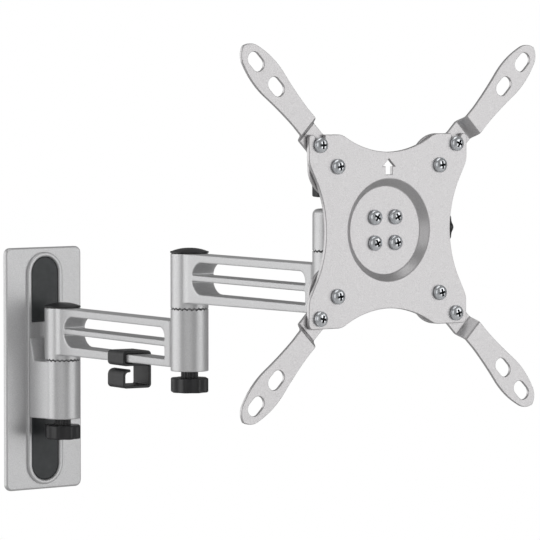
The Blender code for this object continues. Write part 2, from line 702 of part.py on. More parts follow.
def build_cable_clip(parent):
    """A bent strip: it wraps the arm's lowest rail, then hangs down on the far side as a cable hook."""
    wall = CLIP_WALL / 2
    aside = ARM_THICKNESS / 2 + 2 * GAP + wall
    top = RAIL_LEVELS[0] + GAP + wall
    low = ARM_FOOT_INNER + GAP - wall
    hook = low - 14.5 * MM
    bend = 1.7 * MM
    path = rounded(
        [
            (aside, top - 2.6 * MM, 0),
            (aside, top, bend),
            (-aside, top, bend),
            (-aside, low, bend),
            (aside, low, bend),
            (aside, hook, bend),
            (-aside, hook, bend),
            (-aside, low - 4.4 * MM, CLIP_LIP),
            (-aside + 4.6 * MM, low - 3.9 * MM, 0),
        ],
        3,
    )
    shape = bmesh.new()
    rows = [[shape.verts.new((x, y, z)) for x, z in path] for y in (-CLIP_WIDTH / 2, CLIP_WIDTH / 2)]
    for index in range(len(path) - 1):
        corners = rows[0][index], rows[0][index + 1], rows[1][index + 1], rows[1][index]
        shape.faces.new(corners)
    open_strip = bpy.data.meshes.new("cable_clip")
    shape.to_mesh(open_strip)
    shape.free()
    item = bpy.data.objects.new("cable_clip", open_strip)
    PARTS.objects.link(item)
    solid = item.modifiers.new("wall", "SOLIDIFY")
    solid.thickness = CLIP_WALL
    solid.offset = 0
    solid.use_even_offset = True
    mesh = evaluated_mesh(item, "cable_clip")
    finish(place("cable_clip", mesh, parent, (0, -CLIP_PLACE, 0)), BLACK_PLASTIC)


# Head and tilt -----------------------------------------------------------------------------------


def build_head(pivot):
    """The head casting: the last toothed half column, and the barrel that the tilt bolt runs in."""
    neck_outline = [
        (8 * MM, 5 * MM),
        (TILT_OUT, TILT_RISE - BARREL_RADIUS + 0.2 * MM),
        (TILT_OUT, TILT_RISE + BARREL_RADIUS - 0.2 * MM),
        (8 * MM, TILT_RISE + BARREL_RADIUS - 2 * MM),
    ]
    neck = sheet("head_casting", neck_outline, -8 * MM, 8 * MM, turn=ALONG_ARM)
    head = finish(place("head_casting", neck, pivot), SILVER_PAINT)
    core = rod("head_core", COLUMN_RADIUS - 1.5 * MM, -1 * MM, 40 * MM)
    combine(head, place("head_core", core, pivot), "DIFFERENCE")
    barrel = rod("head_barrel", BARREL_RADIUS, -BARREL_HALF, BARREL_HALF)
    tilt_spot = (0, -TILT_OUT, TILT_RISE)
    combine(head, place("head_barrel", barrel, pivot, tilt_spot, ACROSS), "UNION")
    column = toothed(head_column("head_top"), LOCK_GAP / 2, ARM_YAW - HEAD_YAW)
    combine(head, place("head_top", column, pivot), "UNION")
    bore = rod("barrel_bore", BOLT_CLEARANCE, -20 * MM, 20 * MM)
    combine(head, place("barrel_bore", bore, pivot, tilt_spot, ACROSS), "DIFFERENCE")


def build_tilt_bracket(tilt):
    """The U bracket: a flange behind the dish, and two ears on the tilt bolt."""
    front = FLANGE_FACE
    flange = sheet(
        "tilt_bracket",
        rounded([(15, 17, 3), (-15, 17, 3), (-15, -17, 3), (15, -17, 3)], 3),
        0,
        1,
        [circle(2.3, (x * 7.5, z * 7.5), 12) for x in (-1, 1) for z in (-1, 1)],
    )
    scale = Matrix.Diagonal((MM, MM, EAR, 1))
    flange.transform(UPRIGHT @ Matrix.Translation((0, 0, front - EAR)) @ scale)
    bracket = finish(place("tilt_bracket", flange, tilt), SILVER_PAINT)
    reach = front - EAR / 2
    outline = rounded(
        [
            (reach, 13 * MM, 1 * MM),
            (reach, -13 * MM, 1 * MM),
            (-BARREL_RADIUS, -BARREL_RADIUS, BARREL_RADIUS),
            (-BARREL_RADIUS, BARREL_RADIUS, BARREL_RADIUS),
        ],
        6,
    )
    inner = BARREL_HALF + TILT_WASHER + 2 * GAP
    for name, low in (("ear_left", inner), ("ear_right", -inner - EAR)):
        ear = sheet(name, outline, low, low + EAR, [circle(BOLT_RADIUS + GAP)], ALONG_ARM)
        combine(bracket, place(name, ear, tilt), "UNION")


def build_tilt_hardware(tilt):
    """The tilt bolt with its washers, insert nut and knob, along X."""
    inner = BARREL_HALF + GAP
    outer = BARREL_HALF + TILT_WASHER + 2 * GAP + EAR
    for name, side in (("tilt_washer_left", -1), ("tilt_washer_right", 1)):
        low = min(side * inner, side * (inner + TILT_WASHER))
        washer = ring(name, BARREL_RADIUS - GAP, BOLT_CLEARANCE, low, low + TILT_WASHER)
        finish(place(name, washer, tilt, turn=ACROSS), NYLON)
    flat_low = outer + GAP
    flat = ring("tilt_flat_washer", 8.5 * MM, BOLT_CLEARANCE, flat_low, flat_low + 1.4 * MM)
    finish(place("tilt_flat_washer", flat, tilt, turn=ACROSS), ZINC)
    head = -outer - GAP
    tip = TILT_BOLT_REACH - 1 * MM
    bolt = rod("tilt_bolt", BOLT_RADIUS, head - 1 * MM, tip)
    item = finish(place("tilt_bolt", bolt, tilt, turn=ACROSS), ZINC)
    hexagon = sheet("tilt_bolt_head", circle(NUT_RADIUS, steps=6), head - 5 * MM, head)
    combine(item, place("tilt_bolt_head", hexagon, tilt, turn=ACROSS), "UNION")
    face = flat_low + 1.4 * MM + GAP
    nut_low = face + GAP
    nut = hexagon_ring("tilt_insert_nut", NUT_RADIUS, BOLT_RADIUS + GAP, nut_low, nut_low + NUT_HEIGHT)
    finish(place("tilt_insert_nut", nut, tilt, turn=ACROSS), ZINC)
    grip_low = TILT_KNOB_END - TILT_KNOB_GRIP
    outline = lobed(TILT_KNOB_RADIUS, KNOB_LOBES, KNOB_LOBE_DEPTH)
    grip = sheet("tilt_knob", outline, grip_low, TILT_KNOB_END)
    knob = finish(place("tilt_knob", grip, tilt, turn=ACROSS), BLACK_PLASTIC)
    pocket = NUT_RADIUS + 0.4 * MM
    hub = [
        (0, grip_low + 1 * MM),
        (TILT_NECK_RADIUS, grip_low + 1 * MM),
        (TILT_NECK_RADIUS, face + 12 * MM),
        (TILT_HUB_RADIUS, face + 9 * MM),
        (TILT_HUB_RADIUS, face),
        (pocket, face),
        (pocket, face + NUT_HEIGHT + 2 * GAP),
        (BOLT_CLEARANCE, face + NUT_HEIGHT + 2 * GAP),
        (BOLT_CLEARANCE, TILT_BOLT_REACH),
        (0, TILT_BOLT_REACH),
    ]
    combine(knob, place("tilt_hub", turned("tilt_hub", hub), tilt, turn=ACROSS), "UNION")


# VESA plate, extension arms and screws -----------------------------------------------------------


def face_outline():
    """The VESA plate from the front: concave on all four sides, with open notches at the top corners."""
    wide = FACE_HALF_WIDTH
    tall = FACE_HALF_HEIGHT
    shoulder = SHOULDER_X
    dip = tall - 10.4 * MM
    finger = (wide - VESA_100 - NOTCH_HALF) / 2
    way = (shoulder / 2, dip + 2.5 * MM)
    rise = (shoulder - 3 * MM, tall - 1.9 * MM)
    crest = (shoulder + 0.3 * MM, tall - 0.4 * MM)
    end = (shoulder + 4 * MM, tall)
    top = arc_through((0, dip), way, rise, 6) + arc_through(rise, crest, end, 3)
    top += arc((VESA_100 - NOTCH_HALF - 0.8 * MM, tall - 0.8 * MM), 0.8 * MM, 90, 0, 2)
    top += arc((VESA_100, VESA_100), NOTCH_HALF, 180, 360, 8)
    top += arc((wide - finger, tall - finger), finger, 180, 0, 4)
    corner = [
        (wide, SHOULDER_Z + 4.7 * MM),
        (wide - 0.35 * MM, SHOULDER_Z + 2.1 * MM),
        (wide - 1.2 * MM, SHOULDER_Z - 0.4 * MM),
    ]
    flank = (wide - 6.4 * MM, SHOULDER_Z - 10.5 * MM)
    side = corner + arc_through(flank, (FACE_WAIST, 0), (flank[0], -flank[1]), 10)
    side += [(x, -z) for x, z in reversed(corner)]
    bottom = arc((wide - 3 * MM, 3 * MM - tall), 3 * MM, 0, -90, 3)
    way, rise, crest, end = [(x, -z) for x, z in (way, rise, crest, end)]
    bottom += arc_through(end, crest, rise, 3) + arc_through(rise, way, (0, -dip), 6)
    return mirrored(top + side + bottom)


def up_arrow():
    """The cut-out arrow that shows which way is up."""
    tip = 41.6 * MM
    half = [(0, tip), (4.4 * MM, tip - 4.4 * MM), (2.4 * MM, tip - 4.4 * MM), (2.4 * MM, tip - 9.2 * MM)]
    return mirrored(half)


def build_face(tilt):
    """The VESA plate, pressed from sheet with a round dish in its middle."""
    front = FACE_OUT - TILT_OUT
    back = front - FACE_THICKNESS
    holes = [circle(DISH_RIM + 0.6 * MM, steps=40), up_arrow()]
    for x in (-1, 1):
        holes += [circle(SCREW_HOLE, (x * VESA_75, z * VESA_75), 12) for z in (-1, 1)]
        holes += [circle(SCREW_HOLE, (x * VESA_100, -VESA_100), 12)]
    flat = sheet("vesa_plate", face_outline(), back, front, holes, UPRIGHT)
    face = finish(place("vesa_plate", flat, tilt), SILVER_PAINT)
    edge = DISH_RIM + 1.6 * MM
    slope = 1.3 * MM
    profile = [
        (0, front - DISH_DEPTH),
        (DISH_FLOOR, front - DISH_DEPTH),
        (DISH_RIM, front),
        (edge, front),
        (edge, back),
        (DISH_RIM + slope, back),
        (DISH_FLOOR + slope, back - DISH_DEPTH),
        (0, back - DISH_DEPTH),
    ]
    dish = turned("dish", profile, 40)
    combine(face, place("dish", dish, tilt, turn=UPRIGHT), "UNION")
    for number, (x, z) in enumerate(centre_spots(), 1):
        hole = rod(f"dish_hole_{number}", SCREW_HOLE, 0, 40 * MM, 12)
        combine(face, place(f"dish_hole_{number}", hole, tilt, (x, 0, z), UPRIGHT), "DIFFERENCE")


def centre_spots():
    return [(x * CENTRE_PITCH, z * CENTRE_PITCH) for z in (1, -1) for x in (-1, 1)]


def screw_profile(length):
    """A pan-head screw: its seat is at height 0 and its shank points down."""
    centre = (HEAD_RADIUS - HEAD_SHOULDER, HEAD_RISE - HEAD_SHOULDER)
    shoulder = arc(centre, HEAD_SHOULDER, 90, 0, 1)
    shank = [(SCREW_RADIUS, 0), (SCREW_RADIUS, -length), (0, -length)]
    return [(0, HEAD_RISE)] + shoulder + [(HEAD_RADIUS, 0)] + shank


def build_centre_screws(tilt):
    """The four screws that hold the dish to the tilt bracket."""
    seat = FACE_OUT - TILT_OUT - DISH_DEPTH + GAP
    mesh = turned("centre_screw", screw_profile(seat - FLANGE_FACE + EAR + 1 * MM), 12)
    for number, (x, z) in enumerate(centre_spots(), 1):
        name = f"centre_screw_{number}"
        finish(place(name, mesh.copy(), tilt, (x, -seat, z), UPRIGHT), ZINC)


def paddle_edge():
    """One long edge of an extension arm, from its inner lobe to its tip."""
    along, touch = neck_fillet(TONGUE_ROUND, TONGUE_HALF, 6 * MM)
    centre = VESA_75 * math.sqrt(2)
    lobe = arc((centre, 0), TONGUE_ROUND, 180, touch, 12)
    fillet = arc((centre + along, TONGUE_HALF + 6 * MM), 6 * MM, touch - 180, -90, 3)
    tip = PADDLE_TIP
    neck = (JOGGLE_END + 8 * MM, 7.1 * MM)
    hip = (tip - 32 * MM, 9.4 * MM)
    nose = (tip - 8 * MM, 7.6 * MM)
    waist = [(JOGGLE_START - 1 * MM, TONGUE_HALF), (JOGGLE_END + 1 * MM, TONGUE_HALF - 0.1 * MM)]
    flare = arc_through(neck, (106 * MM, 7.9 * MM), hip, 4)
    leaf = arc_through(hip, (tip - 18 * MM, 9.7 * MM), nose, 4)
    end = arc_through(nose, (tip - 2.4 * MM, 4.4 * MM), (tip, 0), 4)
    return lobe + fillet + waist + flare + leaf + end


def extension_mesh():
    """An extension arm lying along +X: a tongue, a joggle and a paddle with two slots."""
    slots = []
    for place_along in SLOT_PLACES:
        slot = stadium(SLOT_WIDTH / 2, SLOT_LENGTH / 2, 6)
        slots.append([(place_along + y, x) for x, y in slot])
    for spot in (VESA_75, VESA_100):
        slots.append(circle(SCREW_HOLE, (spot * math.sqrt(2), 0), 12))
    high = FACE_OUT - TILT_OUT - FACE_THICKNESS - GAP
    outline = mirrored(paddle_edge(), across_x=False)
    mesh = sheet("extension", outline, high - TONGUE_THICKNESS, high, slots)
    shape = bmesh.new()
    shape.from_mesh(mesh)
    for line in (JOGGLE_START, JOGGLE_END):
        everything = shape.verts[:] + shape.edges[:] + shape.faces[:]
        bmesh.ops.bisect_plane(shape, geom=everything, plane_co=(line, 0, 0), plane_no=(1, 0, 0))
    for vertex in shape.verts:
        share = (vertex.co.x - JOGGLE_START) / (JOGGLE_END - JOGGLE_START)
        vertex.co.z += JOGGLE_STEP * min(max(share, 0), 1)
    return mesh_of(shape, "extension")


def build_extension_arms(tilt):
    """The four extension arms on the plate's diagonals, each with its two screws."""
    arm = extension_mesh()
    seat = FACE_OUT - TILT_OUT + GAP
    length = FACE_THICKNESS + TONGUE_THICKNESS + 2 * GAP + 1 * MM
    screw = turned("extension_screw", screw_profile(length), 12)
    corners = (("upper_right", 45), ("upper_left", 135), ("lower_left", 225), ("lower_right", 315))
    for corner, angle in corners:
        diagonal = math.radians(angle)
        turn = Matrix.Rotation(-diagonal, 4, "Y") @ UPRIGHT
        name = "extension_arm_" + corner
        finish(place(name, arm.copy(), tilt, turn=turn), SILVER_PAINT)
        for row, spot in (("inner", VESA_75), ("outer", VESA_100)):
            reach = spot * math.sqrt(2)
            location = (reach * math.cos(diagonal), -seat, reach * math.sin(diagonal))
            name = f"{row}_screw_{corner}"
            finish(place(name, screw.copy(), tilt, location, UPRIGHT), ZINC)


def build():
    """The whole mount, from the wall outwards."""
    wall_pivot = empty("wall_pivot", None, (0, -COLUMN_OUT, WALL_TEETH_Z), ARM_YAW)
    elbow_pivot = empty("elbow_pivot", wall_pivot, (0, -ARM_LENGTH, ARM_STEP))
    head_pivot = empty("head_pivot", elbow_pivot, (0, -ARM_LENGTH, ARM_STEP), HEAD_YAW - ARM_YAW)
    tilt_pivot = empty("tilt_pivot", head_pivot, (0, -TILT_OUT, TILT_RISE))
    build_wall_plate()
    build_bracket_screws()
    build_covers()
    build_bracket()
    build_low_lock("wall", wall_pivot, wall_pivot)
    build_arm("arm_1", wall_pivot, nut_below=False)
    build_cable_clip(wall_pivot)
    build_low_lock("elbow", elbow_pivot, elbow_pivot)
    build_arm("arm_2", elbow_pivot, nut_below=True)
    build_head_lock(head_pivot, head_pivot)
    build_head(head_pivot)
    build_tilt_bracket(tilt_pivot)
    build_tilt_hardware(tilt_pivot)
    build_face(tilt_pivot)
    build_centre_screws(tilt_pivot)
    build_extension_arms(tilt_pivot)


build()
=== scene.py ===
"""Looks for the lockable full motion television wall mount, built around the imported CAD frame.

Lengths are in metres, in the row's frame: the origin is the centre of the wall plate's back face, -Y
points out of the wall and +Z is up. Each casting and plate is built in the frame of its own pivot.
"""

import json
import math
import random

import bmesh
import bpy
from mathutils import Matrix, Vector


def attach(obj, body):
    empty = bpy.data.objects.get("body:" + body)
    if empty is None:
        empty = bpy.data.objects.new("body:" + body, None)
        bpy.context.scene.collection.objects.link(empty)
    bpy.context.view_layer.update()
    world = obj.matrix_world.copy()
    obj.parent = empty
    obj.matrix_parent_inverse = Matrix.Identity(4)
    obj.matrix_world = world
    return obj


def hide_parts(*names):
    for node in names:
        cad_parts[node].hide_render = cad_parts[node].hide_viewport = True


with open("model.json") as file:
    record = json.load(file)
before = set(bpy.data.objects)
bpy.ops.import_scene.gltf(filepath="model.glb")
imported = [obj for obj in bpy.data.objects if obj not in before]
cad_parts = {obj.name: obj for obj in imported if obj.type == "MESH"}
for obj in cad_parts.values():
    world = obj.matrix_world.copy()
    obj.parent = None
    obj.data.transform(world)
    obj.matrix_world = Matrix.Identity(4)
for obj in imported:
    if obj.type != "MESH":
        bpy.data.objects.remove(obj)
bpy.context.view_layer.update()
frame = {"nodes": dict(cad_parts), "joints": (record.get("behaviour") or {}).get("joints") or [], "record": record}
JOINTS = {joint["name"]: joint for joint in frame["joints"]}
CHANCE = random.Random(7)

MM = 0.001
GAP = 0.3 * MM

# Pivots, from the frame
WALL_SPOT = Vector(JOINTS["wall_swivel"]["pos_m"])
ELBOW_SPOT = Vector(JOINTS["elbow_swivel"]["pos_m"])
HEAD_SPOT = Vector(JOINTS["head_swivel"]["pos_m"])
TILT_SPOT = Vector(JOINTS["tilt"]["pos_m"])
ARM_SPAN = ELBOW_SPOT - WALL_SPOT
ARM_LENGTH = ARM_SPAN.xy.length
ARM_STEP = ARM_SPAN.z
ARM_YAW = math.atan2(ARM_SPAN.x, -ARM_SPAN.y)
HEAD_YAW = math.atan2(JOINTS["tilt"]["axis"][1], JOINTS["tilt"]["axis"][0])
COLUMN_OUT = -WALL_SPOT.y
TILT_OUT = (HEAD_SPOT - TILT_SPOT).xy.length
TILT_RISE = TILT_SPOT.z - HEAD_SPOT.z

# Columns and locks
COLUMN_RADIUS = 12 * MM
UPPER_HALF = 34.9 * MM  # column height above a toothed joint
LOWER_HALF = 39.5 * MM  # column height below it
TEETH = 24
TOOTH_HALF_HEIGHT = 0.35 * MM
LOCK_HALF_GAP = 0.5 * MM
RING_DEPTH = 3.2 * MM  # the toothed ring's share of the column
BORE = 8.2 * MM
BOLT_BORE = 4.4 * MM
TUBE_BORE = 6.5 * MM
SPRING_BORE = 8.6 * MM
SPRING_DEPTH = 7 * MM
TUBE_DEPTH = 20 * MM
BUSH_SHELF = 24.3 * MM
NUT_SHELF = 26.3 * MM
NUT_POCKET = 9.5 * MM
CAP_RISE = 3.1 * MM
CAP_RIM_HEIGHT = 1.0 * MM
CAP_OVERHANG = 0.2 * MM
KNOB_RADIUS = 12.2 * MM
KNOB_HEIGHT = 9.3 * MM
KNOB_LOBES = 8
KNOB_LOBE_DEPTH = 1.1 * MM
KNOB_NECK = 4.2 * MM
NECK_RADIUS = 5.45 * MM
BOLT_RADIUS = 4 * MM
NUT_HEIGHT = 6.5 * MM
NUT_RADIUS = 7.5 * MM  # over the corners

# Arm castings
ARM_THICKNESS = 16 * MM
ARM_FILLET = 10 * MM
ARM_TOP = 34.75 * MM
ARM_FOOT_INNER = 3.8 * MM
ARM_FOOT_OUTER = 5.5 * MM
RAIL_LEVELS = (9.95 * MM, 18.15 * MM, 21.8 * MM, 30.0 * MM)  # lower window, then upper window
WINDOW_INNER = 16.5 * MM
WINDOW_OUTER = 18.5 * MM
WINDOW_ROUND = 12 * MM
WINDOW_TOP_CORNER = 6.2 * MM
WINDOW_CORNER = 1.2 * MM

# Wall plate, covers and bracket
PLATE_WIDTH = 62 * MM
PLATE_HEIGHT = 163 * MM
PLATE_THICKNESS = 4 * MM
PLATE_CORNER = 4.5 * MM
RING_HALF_WIDTH = 14.5 * MM
RING_HALF_HEIGHT = 78.3 * MM
RING_FRONT = 6 * MM
POCKET_HALF_WIDTH = 11.1 * MM
POCKET_HALF_HEIGHT = 75.3 * MM
POCKET_FLOOR = 2.5 * MM
COVER_FRONT = 5 * MM
FLANGE_RISE = 24.4 * MM
WALL_HOLES_Z = (62 * MM, 44 * MM, -44 * MM, -62 * MM)
WALL_HOLE_RADIUS = 3.2 * MM
BRACKET_SCREWS_Z = (-17 * MM, -32 * MM)
BRACKET_FOOT_HALF = 14.2 * MM
BRACKET_SEAT = (3.1 * MM, 5.6 * MM)  # a bracket screw's shank hole and head, as radii
BRACKET_TOP = 14 * MM  # where the web meets the wall plate, above the wall teeth

# Head and tilt
HEAD_HEIGHT = 25 * MM
HEAD_BORE_DEPTH = 16 * MM
HEAD_NECK_GAP = 7 * MM
BARREL_RADIUS = 9 * MM
BARREL_HALF = 11 * MM
TILT_WASHER = 1.5 * MM
EAR = 3 * MM
TILT_BOLT_REACH = 41 * MM
TILT_KNOB_END = 59.2 * MM
TILT_KNOB_GRIP = 13 * MM
TILT_KNOB_RADIUS = 10 * MM
TILT_HUB_RADIUS = 9.6 * MM
TILT_NECK_RADIUS = 6.5 * MM
TILT_HEAD_HEIGHT = 5 * MM
TILT_INSERT_POCKET = 7.9 * MM
FLAT_WASHER_RADIUS = 8.5 * MM
FLAT_WASHER = 1.4 * MM
FLANGE_HALF_WIDTH = 15 * MM
FLANGE_HALF_HEIGHT = 17 * MM
EAR_HALF = 13 * MM

# Screen plate, screws and extension arms
FACE_OUT = 54.5 * MM
FACE_THICKNESS = 2.5 * MM
FACE_HALF_WIDTH = 58 * MM
FACE_HALF_HEIGHT = 56 * MM
FACE_WAIST = 45.5 * MM
SHOULDER_X = 34 * MM
SHOULDER_Z = 38 * MM
DISH_DEPTH = 4 * MM
DISH_RIM = 30 * MM
DISH_FLOOR = 26.25 * MM
FACE_FRONT = FACE_OUT - TILT_OUT  # from the tilt axis
FLANGE_FACE = FACE_FRONT - DISH_DEPTH - FACE_THICKNESS - GAP
VESA_75 = 37.5 * MM
VESA_100 = 50 * MM
CENTRE_PITCH = 7.5 * MM
SCREW_RADIUS = 2 * MM
SCREW_HOLE = SCREW_RADIUS + GAP
HEAD_RADIUS = 4.5 * MM
HEAD_RISE = 3.1 * MM
SCREW_PAST = 1 * MM  # how far a screw comes out behind the last plate it holds
RECESS_WIDE = (5.6 * MM, 1.5 * MM)  # the cross recess at the top: one slot's length and width
RECESS_NARROW = (2.2 * MM, 1.0 * MM)  # and at its floor
RECESS_DEPTH = 2.3 * MM
RECESS_REACH = 3 * MM
NOTCH_HALF = 3.5 * MM
TONGUE_THICKNESS = 2 * MM
TONGUE_ROUND = 18.5 * MM
TONGUE_HALF = 7.3 * MM
JOGGLE_START = 81.8 * MM
JOGGLE_END = 85.6 * MM
JOGGLE_STEP = 6 * MM
SLOT_PLACES = (118.2 * MM, 138.3 * MM)
SLOT_WIDTH = 8.4 * MM
SLOT_LENGTH = 12.6 * MM
PADDLE_TIP = 150.8 * MM

# Cable clip
CLIP_PLACE = 91.9 * MM
CLIP_WIDTH = 21 * MM
CLIP_WALL = 1.8 * MM
CLIP_LIP = 3.2 * MM

UPRIGHT = Matrix.Rotation(math.radians(90), 4, "X")  # XY outline to XZ, its top face towards -Y
ALONG_ARM = Matrix.Rotation(math.radians(-90), 4, "Z") @ UPRIGHT  # XY outline to (-Y, Z)
ACROSS = Matrix.Rotation(math.radians(90), 4, "Y")  # +Z to +X
FLIP = Matrix.Rotation(math.pi, 4, "X")

WALL_FRAME = Matrix.Translation((0, 0, WALL_SPOT.z))
ARM_1_FRAME = Matrix.Translation(WALL_SPOT) @ Matrix.Rotation(ARM_YAW, 4, "Z")
ARM_2_FRAME = Matrix.Translation(ELBOW_SPOT) @ Matrix.Rotation(ARM_YAW, 4, "Z")
HEAD_FRAME = Matrix.Translation(HEAD_SPOT) @ Matrix.Rotation(HEAD_YAW, 4, "Z")
TILT_FRAME = Matrix.Translation(TILT_SPOT) @ Matrix.Rotation(HEAD_YAW, 4, "Z")


# Mesh helpers ------------------------------------------------------------------------------------


def arc(centre, radius, start, end, steps):
    """Points on an arc, angles in degrees, both ends included."""
    angles = [math.radians(start + (end - start) * step / steps) for step in range(steps + 1)]
    return [(centre[0] + radius * math.cos(a), centre[1] + radius * math.sin(a)) for a in angles]


def arc_through(first, middle, last, steps):
    """Points on the arc from first to last by way of middle, both ends included."""
    (ax, ay), (bx, by), (cx, cy) = first, middle, last
    det = 2 * (ax * (by - cy) + bx * (cy - ay) + cx * (ay - by))
    squares = ax * ax + ay * ay, bx * bx + by * by, cx * cx + cy * cy
    ux = (squares[0] * (by - cy) + squares[1] * (cy - ay) + squares[2] * (ay - by)) / det
    uy = (squares[0] * (cx - bx) + squares[1] * (ax - cx) + squares[2] * (bx - ax)) / det
    radius = math.hypot(ax - ux, ay - uy)
    start, by_way, end = [math.degrees(math.atan2(y - uy, x - ux)) for x, y in (first, middle, last)]
    anticlockwise = (by_way - start) % 360 < (end - start) % 360
    sweep = (end - start) % 360 if anticlockwise else -((start - end) % 360)
    return arc((ux, uy), radius, start, start + sweep, steps)


def rounded(corners, steps=8):
    """The outline through (x, y, radius) corners, each rounded to its radius."""
    points = []
    for index, (x, y, radius) in enumerate(corners):
        here = Vector((x, y))
        if radius == 0:
            points.append((x, y))
            continue
        before = (Vector(corners[index - 1][:2]) - here).normalized()
        after = (Vector(corners[(index + 1) % len(corners)][:2]) - here).normalized()
        half = before.angle(after) / 2
        centre = here + (before + after).normalized() * radius / math.sin(half)
        first = here + before * radius / math.tan(half) - centre
        last = here + after * radius / math.tan(half) - centre
        start = math.degrees(math.atan2(first.y, first.x))
        end = math.degrees(math.atan2(last.y, last.x))
        sweep = (end - start + 180) % 360 - 180
        points += arc(centre, radius, start, start + sweep, steps)
    return points


def mirrored(points, across_x=True):
    """The outline continued by its mirror image, in reverse order."""
    signs = (-1, 1) if across_x else (1, -1)
    return points + [(x * signs[0], y * signs[1]) for x, y in reversed(points)]


def distinct(points):
    """The outline without points that repeat the one before them."""
    return [p for p, q in zip(points, points[-1:] + points[:-1]) if math.dist(p, q) > 0.00001]


def circle(radius, centre=(0, 0), steps=40):
    return arc(centre, radius, 0, 360, steps)[:-1]


def stadium(half_width, half_height, steps=24):
    """An upright outline with round ends."""
    straight = half_height - half_width
    return mirrored(arc((0, straight), half_width, 0, 180, steps), across_x=False)


def lobed(radius, lobes, depth, steps=128):
    """A round outline with rounded lobes."""
    points = []
    for step in range(steps):
        angle = 2 * math.pi * step / steps
        reach = radius - depth * (1 - math.cos(lobes * angle)) / 2
        points.append((reach * math.cos(angle), reach * math.sin(angle)))
    return points


def neck_fillet(big, half_width, fillet):
    """Where a fillet joins a circle to a straight neck: the fillet centre's distance along the neck,
    and the angle at which it touches the circle, in degrees."""
    aside = half_width + fillet
    along = math.sqrt((big + fillet) ** 2 - aside**2)
    return along, math.degrees(math.atan2(aside, along))


def mesh_of(shape, name, crease=35):
    """The bmesh as a smooth-shaded mesh that stays sharp where faces meet at over this many degrees."""
    mesh = bpy.data.meshes.new(name)
    bmesh.ops.recalc_face_normals(shape, faces=shape.faces)
    shape.to_mesh(mesh)
    shape.free()
    mesh.shade_smooth()
    if crease < 180:
        mesh.set_sharp_from_angle(angle=math.radians(crease))
    return mesh


def object_of(mesh):
    item = bpy.data.objects.new(mesh.name, mesh)
    bpy.context.scene.collection.objects.link(item)
    return item


def evaluated(item, crease=35):
    """The object's evaluated mesh, welded; the object itself is removed."""
    name = item.name
    graph = bpy.context.evaluated_depsgraph_get()
    made = bpy.data.meshes.new_from_object(item.evaluated_get(graph))
    bpy.data.objects.remove(item, do_unlink=True)
    shape = bmesh.new()
    shape.from_mesh(made)
    bpy.data.meshes.remove(made)
    bmesh.ops.remove_doubles(shape, verts=shape.verts, dist=0.000002)
    return mesh_of(shape, name, crease)


def turned(name, profile, segments=96):
    """A turned solid about Z. The (radius, height) profile runs down the outer side. It ends on the
    axis, or it closes into a loop and leaves a bore."""
    shape = bmesh.new()
    rim = [shape.verts.new((radius, 0, height)) for radius, height in profile]
    for first, second in zip(rim, rim[1:]):
        shape.edges.new((first, second))
    if profile[0][0] > 0:
        shape.edges.new((rim[-1], rim[0]))
    item = object_of(bpy.data.meshes.new(name))
    shape.to_mesh(item.data)
    shape.free()
    screw = item.modifiers.new("turn", "SCREW")
    screw.steps = segments
    screw.render_steps = segments
    screw.use_merge_vertices = True
    screw.merge_threshold = 0.000001
    return evaluated(item)


def rod(name, radius, low, high, segments=64):
    return turned(name, [(0, high), (radius, high), (radius, low), (0, low)], segments)


def pressed(name, outline, low, high, holes=(), turn=None, edge=0.0, steps=3):
    """A flat outline with holes, given a thickness from low to high, its edges rounded by edge."""
    curve = bpy.data.curves.new(name, "CURVE")
    curve.dimensions = "2D"
    curve.fill_mode = "BOTH"
    curve.extrude = (high - low) / 2 - edge
    curve.bevel_depth = edge
    curve.offset = -edge
    curve.bevel_resolution = steps
    for points in (outline, *holes):
        points = distinct(points)
        spline = curve.splines.new("POLY")
        spline.points.add(len(points) - 1)
        for point, (x, y) in zip(spline.points, points):
            point.co = (x, y, 0, 1)
        spline.use_cyclic_u = True
    item = bpy.data.objects.new(name, curve)
    bpy.context.scene.collection.objects.link(item)
    mesh = evaluated(item)
    mesh.transform(Matrix.Translation((0, 0, (low + high) / 2)))
    mesh.transform(turn or Matrix.Identity(4))
    return mesh


def joined(mesh, *changes):
    """The mesh after exact Booleans, each given as (other mesh, operation)."""
    item = object_of(mesh)
    helpers = []
    for other, operation in changes:
        helpers.append(object_of(other))
        modifier = item.modifiers.new(operation, "BOOLEAN")
        modifier.operation = operation
        modifier.solver = "EXACT"
        modifier.object = helpers[-1]
    result = evaluated(item)
    for helper in helpers:
        bpy.data.objects.remove(helper, do_unlink=True)
    return result


def moved(mesh, matrix):
    mesh.transform(matrix)
    return mesh


def cast(mesh, voxel=0.45 * MM, rounds=6, keep=0.3):
    """The mesh as a casting: every edge and corner rounded, inside and out."""
    item = object_of(mesh)
    remesh = item.modifiers.new("remesh", "REMESH")
    remesh.mode = "VOXEL"
    remesh.voxel_size = voxel
    smooth = item.modifiers.new("smooth", "SMOOTH")
    smooth.factor = 0.5
    smooth.iterations = rounds
    thin = item.modifiers.new("thin", "DECIMATE")
    thin.ratio = keep
    return evaluated(item, 180)


def piece(name, mesh, frame_matrix, body, look, nodes=()):
    """A finished piece: its mesh in the row's frame, riding on a body and standing for CAD nodes."""
    mesh.transform(frame_matrix)
    mesh.name = name
    mesh.materials.clear()
    mesh.materials.append(look)
    item = object_of(mesh)
    item.name = name
    even = item.modifiers.new("even", "WEIGHTED_NORMAL")
    even.keep_sharp = True
    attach(item, body)
    if nodes:
        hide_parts(*nodes)
    return item


# Materials ---------------------------------------------------------------------------------------


def material(name):
    """A new node material with its Principled shader and object coordinates."""
    look = bpy.data.materials.new(name)
    look.use_nodes = True
    tree = look.node_tree
    shader = tree.nodes["Principled BSDF"]
    place = tree.nodes.new("ShaderNodeTexCoord").outputs["Object"]
    return look, tree, shader, place


